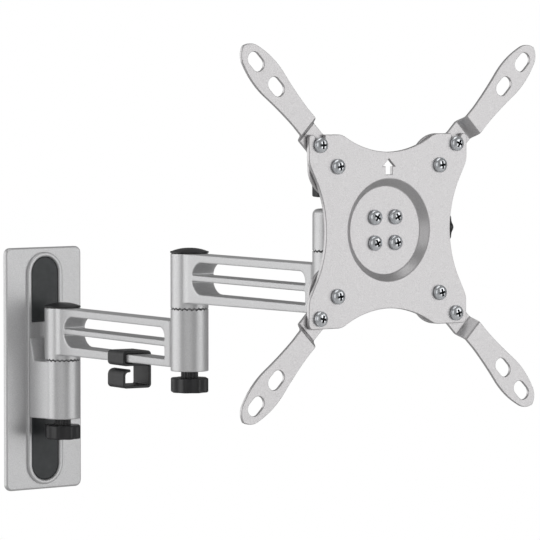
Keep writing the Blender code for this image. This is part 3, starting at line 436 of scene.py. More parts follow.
def noise(tree, place, size, detail=3.0, roughness=0.6):
    """Noise whose grain is about this size."""
    node = tree.nodes.new("ShaderNodeTexNoise")
    node.inputs["Scale"].default_value = 1 / size
    node.inputs["Detail"].default_value = detail
    node.inputs["Roughness"].default_value = roughness
    tree.links.new(place, node.inputs["Vector"])
    return node.outputs["Fac"]


def ramp(tree, value, low, high, dark, light):
    """A colour ramp between two colours, from one value to another."""
    node = tree.nodes.new("ShaderNodeValToRGB")
    node.color_ramp.elements[0].position = low
    node.color_ramp.elements[0].color = (*dark, 1)
    node.color_ramp.elements[1].position = high
    node.color_ramp.elements[1].color = (*light, 1)
    tree.links.new(value, node.inputs["Fac"])
    return node.outputs["Color"]


def span(tree, value, low, high):
    """The value, from 0 to 1, mapped to a range."""
    node = tree.nodes.new("ShaderNodeMapRange")
    node.inputs["To Min"].default_value = low
    node.inputs["To Max"].default_value = high
    tree.links.new(value, node.inputs["Value"])
    return node.outputs["Result"]


def bump(tree, shader, height, strength, distance, under=None):
    node = tree.nodes.new("ShaderNodeBump")
    node.inputs["Strength"].default_value = strength
    node.inputs["Distance"].default_value = distance
    tree.links.new(height, node.inputs["Height"])
    if under:
        tree.links.new(under, node.inputs["Normal"])
    tree.links.new(node.outputs["Normal"], shader.inputs["Normal"])
    return node.outputs["Normal"]


def powder_coat(name, dark, light, roughness, metallic):
    """Silver powder coat: fine metal flakes under a slightly uneven, satin surface."""
    look, tree, shader, place = material(name)
    flakes = noise(tree, place, 0.55 * MM, 2.0, 0.8)
    colour = ramp(tree, flakes, 0.3, 0.7, dark, light)
    tree.links.new(colour, shader.inputs["Base Color"])
    tree.links.new(span(tree, flakes, roughness + 0.07, roughness - 0.07), shader.inputs["Roughness"])
    shader.inputs["Metallic"].default_value = metallic
    shader.inputs["Coat Weight"].default_value = 0.12
    shader.inputs["Coat Roughness"].default_value = 0.35
    flow = noise(tree, place, 2.2 * MM, 2.0, 0.5)
    under = bump(tree, shader, flow, 0.10, 0.05 * MM)
    bump(tree, shader, flakes, 0.16, 0.02 * MM, under)
    return look


def moulded(name, dark, light, roughness, grain, strength):
    """Moulded plastic with a fine spark-eroded grain."""
    look, tree, shader, place = material(name)
    tone = noise(tree, place, 6 * MM, 3.0, 0.6)
    tree.links.new(ramp(tree, tone, 0.3, 0.7, dark, light), shader.inputs["Base Color"])
    texture = noise(tree, place, grain, 3.0, 0.7)
    tree.links.new(span(tree, texture, roughness - 0.08, roughness + 0.08), shader.inputs["Roughness"])
    bump(tree, shader, texture, strength, 0.04 * MM)
    return look


def plated(name, dark, light, roughness):
    """Plated or plain steel, with faint drawn and turned marks."""
    look, tree, shader, place = material(name)
    tone = noise(tree, place, 1.6 * MM, 4.0, 0.6)
    tree.links.new(ramp(tree, tone, 0.25, 0.75, dark, light), shader.inputs["Base Color"])
    tree.links.new(span(tree, tone, roughness - 0.05, roughness + 0.09), shader.inputs["Roughness"])
    shader.inputs["Metallic"].default_value = 1.0
    marks = noise(tree, place, 0.35 * MM, 2.0, 0.5)
    bump(tree, shader, marks, 0.08, 0.02 * MM)
    return look


SILVER = powder_coat("silver_paint", (0.58, 0.58, 0.585), (0.74, 0.74, 0.745), 0.40, 0.62)
FACE_SILVER = powder_coat("face_silver_paint", (0.50, 0.49, 0.495), (0.66, 0.65, 0.655), 0.36, 0.85)
BLACK = moulded("black_plastic", (0.012, 0.012, 0.013), (0.022, 0.022, 0.024), 0.38, 0.30 * MM, 0.25)
COVER = moulded("cover_plastic", (0.030, 0.034, 0.036), (0.045, 0.050, 0.052), 0.42, 0.25 * MM, 0.2)
ZINC = plated("zinc", (0.76, 0.79, 0.83), (0.92, 0.94, 0.96), 0.18)
# Near-black zinc for the inside of a screw's cross recess: painted shade where light does not reach into the
# hollow.
RECESS_SHADE = plated("zinc_recess_painted_shade", (0.05, 0.055, 0.06), (0.10, 0.105, 0.11), 0.40)
STEEL = plated("steel", (0.40, 0.40, 0.41), (0.58, 0.58, 0.58), 0.34)
NYLON = moulded("nylon", (0.66, 0.65, 0.60), (0.74, 0.73, 0.69), 0.50, 0.4 * MM, 0.15)
LOOKS = {
    "silver_paint": SILVER,
    "black_plastic": BLACK,
    "cover_plastic": COVER,
    "zinc": ZINC,
    "steel": STEEL,
    "nylon": NYLON,
}
for entry in frame["record"]["subparts"]:
    kept = frame["nodes"][entry["node"]]
    kept.data.materials.clear()
    kept.data.materials.append(LOOKS[entry["material_slot"]])


# Wall plate, covers and bracket ------------------------------------------------------------------


def countersink(shank, head, length, lip):
    """A countersunk screw's profile pointing up: its head's face is lip below zero."""
    cone = head - shank
    above = -3 * lip
    return [(0, length), (shank, length), (shank, cone - lip), (head, -lip), (head, above), (0, above)]


def make_wall_plate():
    corners = [
        (sx * PLATE_WIDTH / 2, sz * PLATE_HEIGHT / 2, PLATE_CORNER)
        for sx, sz in ((1, 1), (-1, 1), (-1, -1), (1, -1))
    ]
    plate_outline = rounded(corners)
    slab = pressed("wall_plate", plate_outline, 0, PLATE_THICKNESS, (), UPRIGHT, 1.3 * MM, 5)
    crest_outline = stadium(RING_HALF_WIDTH, RING_HALF_HEIGHT)
    pocket_outline = stadium(POCKET_HALF_WIDTH, POCKET_HALF_HEIGHT)
    crest = pressed("crest", crest_outline, 1 * MM, RING_FRONT, [pocket_outline], UPRIGHT, 1.2 * MM, 5)
    pocket = pressed("pocket", pocket_outline, POCKET_FLOOR, 2 * RING_FRONT, turn=UPRIGHT)
    changes = [(pocket, "DIFFERENCE"), (crest, "UNION")]
    for z in WALL_HOLES_Z:
        hole = rod("hole", WALL_HOLE_RADIUS, -1 * MM, PLATE_THICKNESS + 1 * MM)
        hole = moved(hole, Matrix.Translation((0, 0, z)) @ UPRIGHT)
        changes.append((hole, "DIFFERENCE"))
    for z in BRACKET_SCREWS_Z:
        seat = turned("seat", countersink(*BRACKET_SEAT, POCKET_FLOOR + 1 * MM, 0.1 * MM), 48)
        spot = Matrix.Translation((0, 0, WALL_SPOT.z + z)) @ UPRIGHT
        changes.append((moved(seat, spot), "DIFFERENCE"))
    plate = joined(slab, *changes)
    piece("wall_plate_finish", plate, Matrix.Identity(4), "base", SILVER, ["wall_plate"])


def make_covers():
    half = POCKET_HALF_WIDTH - GAP
    end = POCKET_HALF_HEIGHT - GAP
    upper_edge = WALL_SPOT.z + FLANGE_RISE + GAP
    lower_edge = WALL_SPOT.z - LOWER_HALF - GAP
    for name, edge, side in (("upper_cover", upper_edge, 1), ("lower_cover", lower_edge, -1)):
        round_end = arc((0, side * (end - half)), half, 0, side * 180, 32)
        outline = round_end + [(-half, edge), (half, edge)]
        cover = pressed(name, outline, POCKET_FLOOR + GAP, COVER_FRONT, (), UPRIGHT, 0.7 * MM, 4)
        piece(name + "_finish", cover, Matrix.Identity(4), "base", COVER, [name])


def make_bracket():
    teeth = -LOCK_HALF_GAP - TOOTH_HALF_HEIGHT - 0.1 * MM
    side = [
        (RING_FRONT + GAP, 0.1 * MM - LOWER_HALF),
        (COLUMN_OUT, 0.1 * MM - LOWER_HALF),
        (COLUMN_OUT, teeth),
        (11 * MM, teeth),
        (7.6 * MM, BRACKET_TOP),
        (RING_FRONT + GAP, BRACKET_TOP),
    ]
    web_half = COLUMN_RADIUS - 0.05 * MM
    web = pressed("wall_bracket", side, -web_half, web_half, turn=ALONG_ARM)
    for vertex in web.vertices:
        share = (COLUMN_OUT + vertex.co.y) / (COLUMN_OUT - RING_FRONT - GAP)
        vertex.co.x *= 1 + share * (BRACKET_FOOT_HALF / web_half - 1)
    flange_half = POCKET_HALF_WIDTH - GAP
    lug = COVER_FRONT - 0.4 * MM
    flange_side = [
        (POCKET_FLOOR + GAP, -LOWER_HALF),
        (RING_FRONT + 1 * MM, -LOWER_HALF),
        (RING_FRONT + 1 * MM, BRACKET_TOP - 1 * MM),
        (lug, BRACKET_TOP - 1 * MM),
        (lug, FLANGE_RISE),
        (POCKET_FLOOR + GAP, FLANGE_RISE),
    ]
    flange = pressed("flange", flange_side, -flange_half, flange_half, turn=ALONG_ARM)
    column_spot = Matrix.Translation((0, -COLUMN_OUT, 0))
    column = moved(rod("column", COLUMN_RADIUS, -LOWER_HALF, teeth, 128), column_spot)
    body = cast(joined(web, (flange, "UNION"), (column, "UNION")))
    changes = [(moved(lower_bore(COLUMN_RADIUS + 0.02 * MM), column_spot), "DIFFERENCE")]
    for z in BRACKET_SCREWS_Z:
        hole = moved(rod("hole", 2.8 * MM, 0, 15 * MM), Matrix.Translation((0, 0, z)) @ UPRIGHT)
        changes.append((hole, "DIFFERENCE"))
    bracket = joined(body, *changes)
    piece("wall_bracket_finish", bracket, WALL_FRAME, "base", SILVER, ["wall_bracket"])


# Toothed columns ---------------------------------------------------------------------------------


def lower_bore(trim, nut_below=False):
    """What is cut from a half column below a lock: its bores, and the room for its toothed ring."""
    below = -LOWER_HALF - 5 * MM
    profile = [
        (0, 12 * MM),
        (trim, 12 * MM),
        (trim, -RING_DEPTH),
        (SPRING_BORE, -RING_DEPTH),
        (SPRING_BORE, -SPRING_DEPTH),
        (TUBE_BORE, -SPRING_DEPTH),
        (TUBE_BORE, -TUBE_DEPTH),
        (BOLT_BORE, -TUBE_DEPTH),
    ]
    if nut_below:
        shelf = NUT_POCKET - LOWER_HALF
        profile += [(BOLT_BORE, shelf), (BORE, shelf), (BORE, below), (0, below)]
    else:
        profile += [(BOLT_BORE, below), (0, below)]
    return turned("bore", profile)


def upper_bore(trim, height, shelf, nut_shelf=None):
    """What is cut from a half column above a lock."""
    top = height + 5 * MM
    wide = BORE if nut_shelf else BOLT_BORE
    nut = [(BORE, nut_shelf), (BOLT_BORE, nut_shelf)] if nut_shelf else []
    profile = [(0, top), (wide, top), *nut, (BOLT_BORE, shelf), (BORE, shelf)]
    profile += [(BORE, RING_DEPTH), (trim, RING_DEPTH), (trim, -12 * MM), (0, -12 * MM)]
    return turned("bore", profile)


def tooth_ring(name, side, bore, matrix, body, phase=0.0):
    """The toothed end of a half column: side is 1 above the lock and -1 below it."""
    crest = LOCK_HALF_GAP
    soft = 0.28 * MM
    outer = arc((COLUMN_RADIUS - soft, crest + soft), soft, 0, -90, 4)
    inner = arc((bore + soft, crest + soft), soft, -90, -180, 4)
    profile = [(bore, RING_DEPTH), (COLUMN_RADIUS, RING_DEPTH)] + outer + inner
    ring = turned(name, profile, TEETH * 12)
    for vertex in ring.vertices:
        if vertex.co.z < RING_DEPTH - 0.1 * MM:
            angle = math.atan2(vertex.co.y, vertex.co.x)
            reach = min(1, (RING_DEPTH - vertex.co.z) / (1 * MM))
            vertex.co.z += side * reach * TOOTH_HALF_HEIGHT * math.cos(TEETH * angle)
    if side < 0:
        for vertex in ring.vertices:
            vertex.co.z *= -1
        ring.flip_normals()
    ring.transform(Matrix.Rotation(phase, 4, "Z"))
    piece(name, ring, matrix, body, SILVER)


# Lock hardware -----------------------------------------------------------------------------------


def make_knob(name, node, matrix, neck, body):
    """A lobed knob on a fluted neck. Its frame's zero is the face that the neck presses on."""
    outline = lobed(KNOB_RADIUS, KNOB_LOBES, KNOB_LOBE_DEPTH)
    grip = pressed(name, outline, -neck - KNOB_HEIGHT, -neck, edge=1.1 * MM, steps=5)
    stem_outline = lobed(NECK_RADIUS, 14, 0.5 * MM, 168)
    stem = pressed("stem", stem_outline, -neck - 1 * MM, -GAP, edge=0.25 * MM, steps=2)
    dimple = turned("dimple", [(0, 0), (6.6 * MM, 0), (5.8 * MM, 0.6 * MM), (0, 0.6 * MM)], 64)
    dimple = moved(dimple, Matrix.Translation((0, 0, -neck - KNOB_HEIGHT - 0.01 * MM)))
    socket = rod("socket", BOLT_RADIUS + GAP, -neck - 7 * MM, 1 * MM)
    knob = joined(grip, (stem, "UNION"), (socket, "DIFFERENCE"), (dimple, "DIFFERENCE"))
    piece(name, knob, matrix, body, BLACK, [node])


def make_cap(name, node, matrix, body):
    """A domed plug with a thin rim, on a column's end face."""
    rim = COLUMN_RADIUS + CAP_OVERHANG
    foot = GAP + CAP_RIM_HEIGHT
    top = CAP_RISE + GAP
    way = (rim * 0.55, foot + (top - foot) * 0.72)
    dome = arc_through((0, top), way, (rim - 0.7 * MM, foot), 14)
    lip = arc((rim - 0.35 * MM, foot - 0.35 * MM), 0.35 * MM, 90, 0, 4)
    plug = BORE - 2 * GAP
    profile = dome + lip + [(rim, GAP), (plug, GAP), (plug, -1.4 * MM), (0, -1.4 * MM)]
    piece(name, turned(name, profile), matrix, body, BLACK, [node])


# Arms --------------------------------------------------------------------------------------------


def arm_plan():
    """The beam from above: straight sides that flare into both columns."""
    half = ARM_THICKNESS / 2
    inside = COLUMN_RADIUS - 0.1 * MM
    along, touch = neck_fillet(inside, half, ARM_FILLET)
    near = arc((along, half + ARM_FILLET), ARM_FILLET, touch - 180, -90, 12)
    far = [(ARM_LENGTH - x, y) for x, y in reversed(near)]
    upper = [(0, near[0][1])] + near + far + [(ARM_LENGTH, near[0][1])]
    return mirrored(upper, across_x=False)


def arm_window(low, high, inner_low):
    """One window between two rails: part of a large ellipse at the inner end, nearly square at the
    outer end but for the topmost corner. inner_low says that the middle rail is on its low side."""
    middle = (RAIL_LEVELS[1] + RAIL_LEVELS[2]) / 2
    rise = RAIL_LEVELS[3] - middle
    rail = (RAIL_LEVELS[2] - RAIL_LEVELS[1]) / 2
    first = math.asin(rail / rise)
    ellipse = []
    for step in range(19):
        angle = first + (math.pi / 2 - first) * step / 18
        x = WINDOW_INNER + WINDOW_ROUND * (1 - math.cos(angle))
        y = rise * math.sin(angle)
        ellipse.append((x, middle + (y if inner_low else -y)))
    end = ARM_LENGTH - WINDOW_OUTER
    top = WINDOW_TOP_CORNER if inner_low else WINDOW_CORNER
    outer = arc((end - top, high - top), top, 90, 0, 12)
    outer += arc((end - WINDOW_CORNER, low + WINDOW_CORNER), WINDOW_CORNER, 0, -90, 6)
    return ellipse + (outer if inner_low else outer[::-1])


def make_arm(name, matrix, body, nut_below):
    """An arm casting: the half columns at its two ends and the three rails between them."""
    side = [(0, ARM_FOOT_INNER), (ARM_LENGTH, ARM_FOOT_OUTER), (ARM_LENGTH, ARM_TOP), (0, ARM_TOP)]
    windows = [
        arm_window(RAIL_LEVELS[0], RAIL_LEVELS[1], False),
        arm_window(RAIL_LEVELS[2], RAIL_LEVELS[3], True),
    ]
    width = 2 * COLUMN_RADIUS
    beam = pressed(name, side, -width / 2, width / 2, windows, ALONG_ARM)
    to_arm = Matrix.Rotation(math.radians(-90), 4, "Z")
    plan = pressed("plan", arm_plan(), 0, 60 * MM, turn=to_arm)
    outer_spot = Matrix.Translation((0, -ARM_LENGTH, ARM_STEP))
    inner_column = rod("inner", COLUMN_RADIUS, 0, UPPER_HALF, 128)
    outer_column = moved(rod("outer", COLUMN_RADIUS, -LOWER_HALF, 0, 128), outer_spot)
    body_mesh = cast(joined(beam, (plan, "INTERSECT"), (inner_column, "UNION"), (outer_column, "UNION")))
    trim = COLUMN_RADIUS + 3 * MM
    inner_bore = upper_bore(trim, UPPER_HALF, BUSH_SHELF, NUT_SHELF)
    outer_bore = moved(lower_bore(trim, nut_below), outer_spot)
    arm = joined(body_mesh, (inner_bore, "DIFFERENCE"), (outer_bore, "DIFFERENCE"))
    piece(name + "_finish", arm, matrix, body, SILVER, [name])
    tooth_ring(name + "_inner_teeth", 1, BORE, matrix, body)
    tooth_ring(name + "_outer_teeth", -1, SPRING_BORE, matrix @ outer_spot, body)


def make_clip():
    """The bent strip that wraps the arm's lowest rail and hangs down as a cable hook."""
    wall = CLIP_WALL / 2
    aside = ARM_THICKNESS / 2 + 2 * GAP + wall
    top = RAIL_LEVELS[0] + GAP + wall
    low = ARM_FOOT_INNER + GAP - wall
    hook = low - 14.5 * MM
    bend = 1.7 * MM
    path = rounded(
        [
            (aside, top - 2.6 * MM, 0),
            (aside, top, bend),
            (-aside, top, bend),
            (-aside, low, bend),
            (aside, low, bend),
            (aside, hook, bend),
            (-aside, hook, bend),
            (-aside, low - 4.4 * MM, CLIP_LIP),
            (-aside + 4.6 * MM, low - 3.9 * MM, 0),
        ],
        8,
    )
    shape = bmesh.new()
    rows = [[shape.verts.new((x, y, z)) for x, z in path] for y in (-CLIP_WIDTH / 2, CLIP_WIDTH / 2)]
    for index in range(len(path) - 1):
        shape.faces.new((rows[0][index], rows[0][index + 1], rows[1][index + 1], rows[1][index]))
    item = object_of(bpy.data.meshes.new("clip"))
    shape.to_mesh(item.data)
    shape.free()
    solid = item.modifiers.new("wall", "SOLIDIFY")
    solid.thickness = CLIP_WALL
    solid.offset = 0
    solid.use_even_offset = True
    soft = item.modifiers.new("soft", "BEVEL")
    soft.width = 0.4 * MM
    soft.segments = 3
    soft.limit_method = "ANGLE"
    soft.angle_limit = math.radians(60)
    clip = evaluated(item, 50)
    spot = ARM_1_FRAME @ Matrix.Translation((0, -CLIP_PLACE, 0))
    piece("cable_clip_finish", clip, spot, "clip", BLACK, ["cable_clip"])


# Head and tilt -----------------------------------------------------------------------------------


def make_head():
    """The head casting: the last half column, and the barrel that the tilt bolt runs in."""
    neck_outline = [
        (2 * MM, 5 * MM),
        (TILT_OUT, TILT_RISE - BARREL_RADIUS + 0.2 * MM),
        (TILT_OUT, TILT_RISE + BARREL_RADIUS - 0.2 * MM),
        (2 * MM, TILT_RISE + BARREL_RADIUS - 2 * MM),
    ]
    neck = pressed("head", neck_outline, -8 * MM, 8 * MM, turn=ALONG_ARM)
    tilt_spot = Matrix.Translation((0, -TILT_OUT, TILT_RISE))
    barrel = moved(rod("barrel", BARREL_RADIUS, -BARREL_HALF, BARREL_HALF), tilt_spot @ ACROSS)
    shoulder = 3.5 * MM
    crown = arc((COLUMN_RADIUS - shoulder, HEAD_HEIGHT - shoulder), shoulder, 90, 0, 12)
    column = turned("column", [(0, HEAD_HEIGHT)] + crown + [(COLUMN_RADIUS, 0), (0, 0)], 128)
    body = cast(joined(neck, (barrel, "UNION"), (column, "UNION")))
    bore = upper_bore(COLUMN_RADIUS + 3 * MM, HEAD_HEIGHT, HEAD_BORE_DEPTH)
    cross = moved(rod("cross", BOLT_BORE, -20 * MM, 20 * MM), tilt_spot @ ACROSS)
    head = joined(body, (bore, "DIFFERENCE"), (cross, "DIFFERENCE"))
    piece("head_casting_finish", head, HEAD_FRAME, "head", SILVER, ["head_casting"])
    tooth_ring("head_teeth", 1, BORE, HEAD_FRAME, "head", ARM_YAW - HEAD_YAW)


def make_tilt_bracket():
    """The U bracket: a flange behind the dish, and two ears on the tilt bolt."""
    signs = (1, 1), (-1, 1), (-1, -1), (1, -1)
    corners = [(x * FLANGE_HALF_WIDTH, z * FLANGE_HALF_HEIGHT, 3 * MM) for x, z in signs]
    holes = [circle(SCREW_HOLE, (x, z)) for x, z in centre_spots()]
    back = FLANGE_FACE - EAR
    flange = pressed("tilt_bracket", rounded(corners), back, FLANGE_FACE, holes, UPRIGHT, 0.5 * MM)
    reach = FLANGE_FACE - EAR / 2
    outline = rounded(
        [
            (reach, EAR_HALF, 1 * MM),
            (reach, -EAR_HALF, 1 * MM),
            (-BARREL_RADIUS, -BARREL_RADIUS, BARREL_RADIUS - 0.05 * MM),
            (-BARREL_RADIUS, BARREL_RADIUS, BARREL_RADIUS - 0.05 * MM),
        ],
        16,
    )
    inner = BARREL_HALF + TILT_WASHER + 2 * GAP
    changes = []
    for low in (inner, -inner - EAR):
        ear = pressed("ear", outline, low, low + EAR, [circle(BOLT_RADIUS + GAP)], ALONG_ARM, 0.5 * MM)
        changes.append((ear, "UNION"))
    bracket = joined(flange, *changes)
    piece("tilt_bracket_finish", bracket, TILT_FRAME, "tilt", SILVER, ["tilt_bracket"])


def make_tilt_hardware():
    """The tilt bolt, its flat washer and its knob."""
    outer = BARREL_HALF + TILT_WASHER + 2 * GAP + EAR
    head = -outer - GAP
    shaft = rod("tilt_bolt", BOLT_RADIUS, head - 1 * MM, TILT_BOLT_REACH - 1 * MM)
    six_corners = circle(NUT_RADIUS, steps=6)
    hexagon = pressed("hexagon", six_corners, head - TILT_HEAD_HEIGHT, head, edge=0.5 * MM)
    bolt = joined(shaft, (hexagon, "UNION"))
    across = TILT_FRAME @ ACROSS
    piece("tilt_bolt_finish", bolt, across, "tilt", ZINC, ["tilt_bolt"])
    flat_low = outer + GAP
    flat_high = flat_low + FLAT_WASHER
    washer_outline = circle(FLAT_WASHER_RADIUS, steps=96)
    hole = [circle(BOLT_BORE)]
    washer = pressed("washer", washer_outline, flat_low, flat_high, hole, None, 0.25 * MM)
    piece("tilt_flat_washer_finish", washer, across, "tilt_clamp", ZINC, ["tilt_flat_washer"])
    face = flat_high + GAP
    grip_low = TILT_KNOB_END - TILT_KNOB_GRIP
    outline = lobed(TILT_KNOB_RADIUS, KNOB_LOBES, KNOB_LOBE_DEPTH)
    grip = pressed("tilt_knob", outline, grip_low, TILT_KNOB_END, edge=1.2 * MM, steps=5)
    pocket = TILT_INSERT_POCKET
    insert = NUT_HEIGHT + 2 * GAP
    neck = TILT_NECK_RADIUS
    socket = TILT_BOLT_REACH
    hub = [(0, grip_low + 1 * MM), (neck, grip_low + 1 * MM), (neck, face + 12 * MM)]
    hub += arc((TILT_HUB_RADIUS - 1 * MM, face + 8 * MM), 1 * MM, 60, 0, 4)
    hub += [(TILT_HUB_RADIUS, face + 0.4 * MM), (TILT_HUB_RADIUS - 0.4 * MM, face), (pocket, face)]
    hub += [(pocket, face + insert), (BOLT_BORE, face + insert), (BOLT_BORE, socket), (0, socket)]
    knob = joined(grip, (turned("hub", hub), "UNION"))
    piece("tilt_knob_finish", knob, across, "tilt_lock", BLACK, ["tilt_knob"])


# Screen plate, screws and extension arms ---------------------------------------------------------


def face_outline():
    """The screen plate from the front: concave on all four sides, the top corners with open notches."""
    wide = FACE_HALF_WIDTH
    tall = FACE_HALF_HEIGHT
    shoulder = SHOULDER_X
    dip = tall - 10.4 * MM
    finger = (wide - VESA_100 - NOTCH_HALF) / 2
    slope = (shoulder - 3 * MM, tall - 1.9 * MM)
    crest = (shoulder + 4 * MM, tall)
    dip_curve = arc_through((0, dip), (shoulder / 2, dip + 2.5 * MM), slope, 16)
    shoulder_curve = arc_through(slope, (shoulder + 0.3 * MM, tall - 0.4 * MM), crest, 6)
    top = dip_curve + shoulder_curve
    top += arc((VESA_100 - NOTCH_HALF - 0.8 * MM, tall - 0.8 * MM), 0.8 * MM, 90, 0, 5)
    top += arc((VESA_100, VESA_100), NOTCH_HALF, 180, 360, 20)
    top += arc((wide - finger, tall - finger), finger, 180, 0, 12)
    corner = arc_through(
        (wide, SHOULDER_Z + 4.7 * MM),
        (wide - 0.35 * MM, SHOULDER_Z + 2.1 * MM),
        (wide - 1.2 * MM, SHOULDER_Z - 0.4 * MM),
        5,
    )
    flank = (wide - 6.4 * MM, SHOULDER_Z - 10.5 * MM)
    side = corner + arc_through(flank, (FACE_WAIST, 0), (flank[0], -flank[1]), 28)
    side += [(x, -z) for x, z in reversed(corner)]
    bottom = arc((wide - 3 * MM, 3 * MM - tall), 3 * MM, 0, -90, 8)
    bottom += [(x, -z) for x, z in reversed(dip_curve + shoulder_curve)]
    return mirrored(top + side + bottom)


def up_arrow():
    """The cut-out arrow that shows which way is up."""
    tip = 41.6 * MM
    head = tip - 4.4 * MM
    half = [(0, tip), (4.4 * MM, head), (2.4 * MM, head), (2.4 * MM, tip - 9.2 * MM)]
    return mirrored(half)


def centre_spots():
    return [(x * CENTRE_PITCH, z * CENTRE_PITCH) for z in (1, -1) for x in (-1, 1)]


def make_face():
    """The screen plate with the round dish that is pressed into its middle."""
    back = FACE_FRONT - FACE_THICKNESS
    holes = [circle(DISH_RIM + 0.6 * MM, steps=96), up_arrow()]
    for x in (-1, 1):
        holes += [circle(SCREW_HOLE, (x * VESA_75, z * VESA_75), 24) for z in (-1, 1)]
        holes += [circle(SCREW_HOLE, (x * VESA_100, -VESA_100), 24)]
    flat = pressed("face", face_outline(), back, FACE_FRONT, holes, UPRIGHT, 0.45 * MM)
    edge = DISH_RIM + 1.6 * MM
    slope = 1.3 * MM
    front = FACE_FRONT + 0.005 * MM
    floor = front - DISH_DEPTH
    profile = [
        (0, floor),
        (DISH_FLOOR - 1.2 * MM, floor),
        (DISH_FLOOR - 0.5 * MM, floor + 0.12 * MM),
        (DISH_FLOOR, floor + 0.5 * MM),
        (DISH_RIM - 0.5 * MM, front - 0.5 * MM),
        (DISH_RIM, front - 0.12 * MM),
        (DISH_RIM + 0.6 * MM, front),
        (edge, front),
        (edge, back - 0.005 * MM),
        (DISH_RIM + slope, back - 0.005 * MM),
        (DISH_FLOOR + slope, back - DISH_DEPTH),
        (0, back - DISH_DEPTH),
    ]
    changes = [(moved(turned("dish", profile, 160), UPRIGHT), "UNION")]
    for x, z in centre_spots():
        hole = moved(rod("hole", SCREW_HOLE, 0, 40 * MM, 24), Matrix.Translation((x, 0, z)) @ UPRIGHT)
        changes.append((hole, "DIFFERENCE"))
    face = joined(flat, *changes)
    piece("vesa_plate_finish", face, TILT_FRAME, "tilt", FACE_SILVER, ["vesa_plate"])


def screw_mesh(name, length):
    """A pan-head screw with a cross recess: its seat is at height 0 and its shank points down."""
    brim = HEAD_RADIUS - 1.0 * MM
    shoulder = HEAD_RISE - 0.85 * MM
    crown = arc_through((0, HEAD_RISE), (brim * 0.55, HEAD_RISE - 0.22 * MM), (brim, shoulder), 8)
    side = arc_through(
        (brim, shoulder),
        (HEAD_RADIUS - 0.25 * MM, HEAD_RISE - 1.5 * MM),
        (HEAD_RADIUS, HEAD_RISE - 2.4 * MM),
        6,
    )
    lip = [(HEAD_RADIUS, 0.15 * MM), (HEAD_RADIUS - 0.15 * MM, 0)]
    tip = 0.5 * MM
    shank = [(SCREW_RADIUS, 0), (SCREW_RADIUS, tip - length), (SCREW_RADIUS - tip, -length), (0, -length)]
    body = turned(name, crown + side[1:] + lip + shank, 48)
    changes = []
    for angle in (0, 90):
        wing = bmesh.new()
        bmesh.ops.create_cube(wing, size=1)
        for vertex in wing.verts:
            wide = vertex.co.z > 0
            along, across = RECESS_WIDE if wide else RECESS_NARROW
            vertex.co.x *= along
            vertex.co.y *= across
            vertex.co.z = HEAD_RISE + 0.6 * MM if wide else HEAD_RISE - RECESS_DEPTH
        blade = mesh_of(wing, "wing")
        changes.append((moved(blade, Matrix.Rotation(math.radians(angle), 4, "Z")), "DIFFERENCE"))
    return joined(body, *changes)


def place_screw(node, mesh, matrix):
    """One screw. The walls and floor of its cross recess get a dark zinc material: painted shade in the hollow."""
    item = piece(node + "_finish", mesh, matrix, "tilt", ZINC, [node])
    item.data.materials.append(RECESS_SHADE)
    home = matrix.inverted()
    turn = home.to_3x3()
    # The recess walls and floor take the second material, the painted shade.
    for face in item.data.polygons:
        spot = home @ face.center
        steep = abs((turn @ face.normal).z) < 0.7
        deep = spot.z < HEAD_RISE - RECESS_DEPTH / 2
        if spot.z > 0 and spot.xy.length < RECESS_REACH and (steep or deep):
            face.material_index = 1


def make_screws():
    seat = FACE_FRONT - DISH_DEPTH + GAP
    centre = screw_mesh("centre_screw", seat - FLANGE_FACE + EAR + SCREW_PAST)
    for number, (x, z) in enumerate(centre_spots(), 1):
        twist = Matrix.Rotation(CHANCE.uniform(0, math.pi), 4, "Z")
        spot = TILT_FRAME @ Matrix.Translation((x, -seat, z)) @ UPRIGHT @ twist
        node = f"centre_screw_{number}"
        place_screw(node, centre.copy(), spot)
    seat = FACE_FRONT + GAP
    outer = screw_mesh("outer_screw", FACE_THICKNESS + TONGUE_THICKNESS + 2 * GAP + SCREW_PAST)
    for corner, side, level in CORNERS:
        for row, reach in (("inner", VESA_75), ("outer", VESA_100)):
            twist = Matrix.Rotation(CHANCE.uniform(0, math.pi), 4, "Z")
            spot = TILT_FRAME @ Matrix.Translation((side * reach, -seat, level * reach)) @ UPRIGHT @ twist
            node = f"{row}_screw_{corner}"
            place_screw(node, outer.copy(), spot)


CORNERS = (("upper_right", 1, 1), ("upper_left", -1, 1), ("lower_left", -1, -1), ("lower_right", 1, -1))


def paddle_edge():
    """One long edge of an extension arm, from its inner lobe to its tip."""
    along, touch = neck_fillet(TONGUE_ROUND, TONGUE_HALF, 6 * MM)
    centre = VESA_75 * math.sqrt(2)
    lobe = arc((centre, 0), TONGUE_ROUND, 180, touch, 36)
    fillet = arc((centre + along, TONGUE_HALF + 6 * MM), 6 * MM, touch - 180, -90, 8)
    tip = PADDLE_TIP
    neck = (JOGGLE_END + 8 * MM, 7.1 * MM)
    hip = (tip - 32 * MM, 9.4 * MM)
    nose = (tip - 8 * MM, 7.6 * MM)
    waist = [(JOGGLE_START - 1 * MM, TONGUE_HALF), (JOGGLE_END + 1 * MM, TONGUE_HALF - 0.1 * MM)]
    flare = arc_through(neck, (106 * MM, 7.9 * MM), hip, 12)
    leaf = arc_through(hip, (tip - 18 * MM, 9.7 * MM), nose, 12)
    end = arc_through(nose, (tip - 2.4 * MM, 4.4 * MM), (tip, 0), 10)
    return lobe + fillet + waist + flare + leaf + end


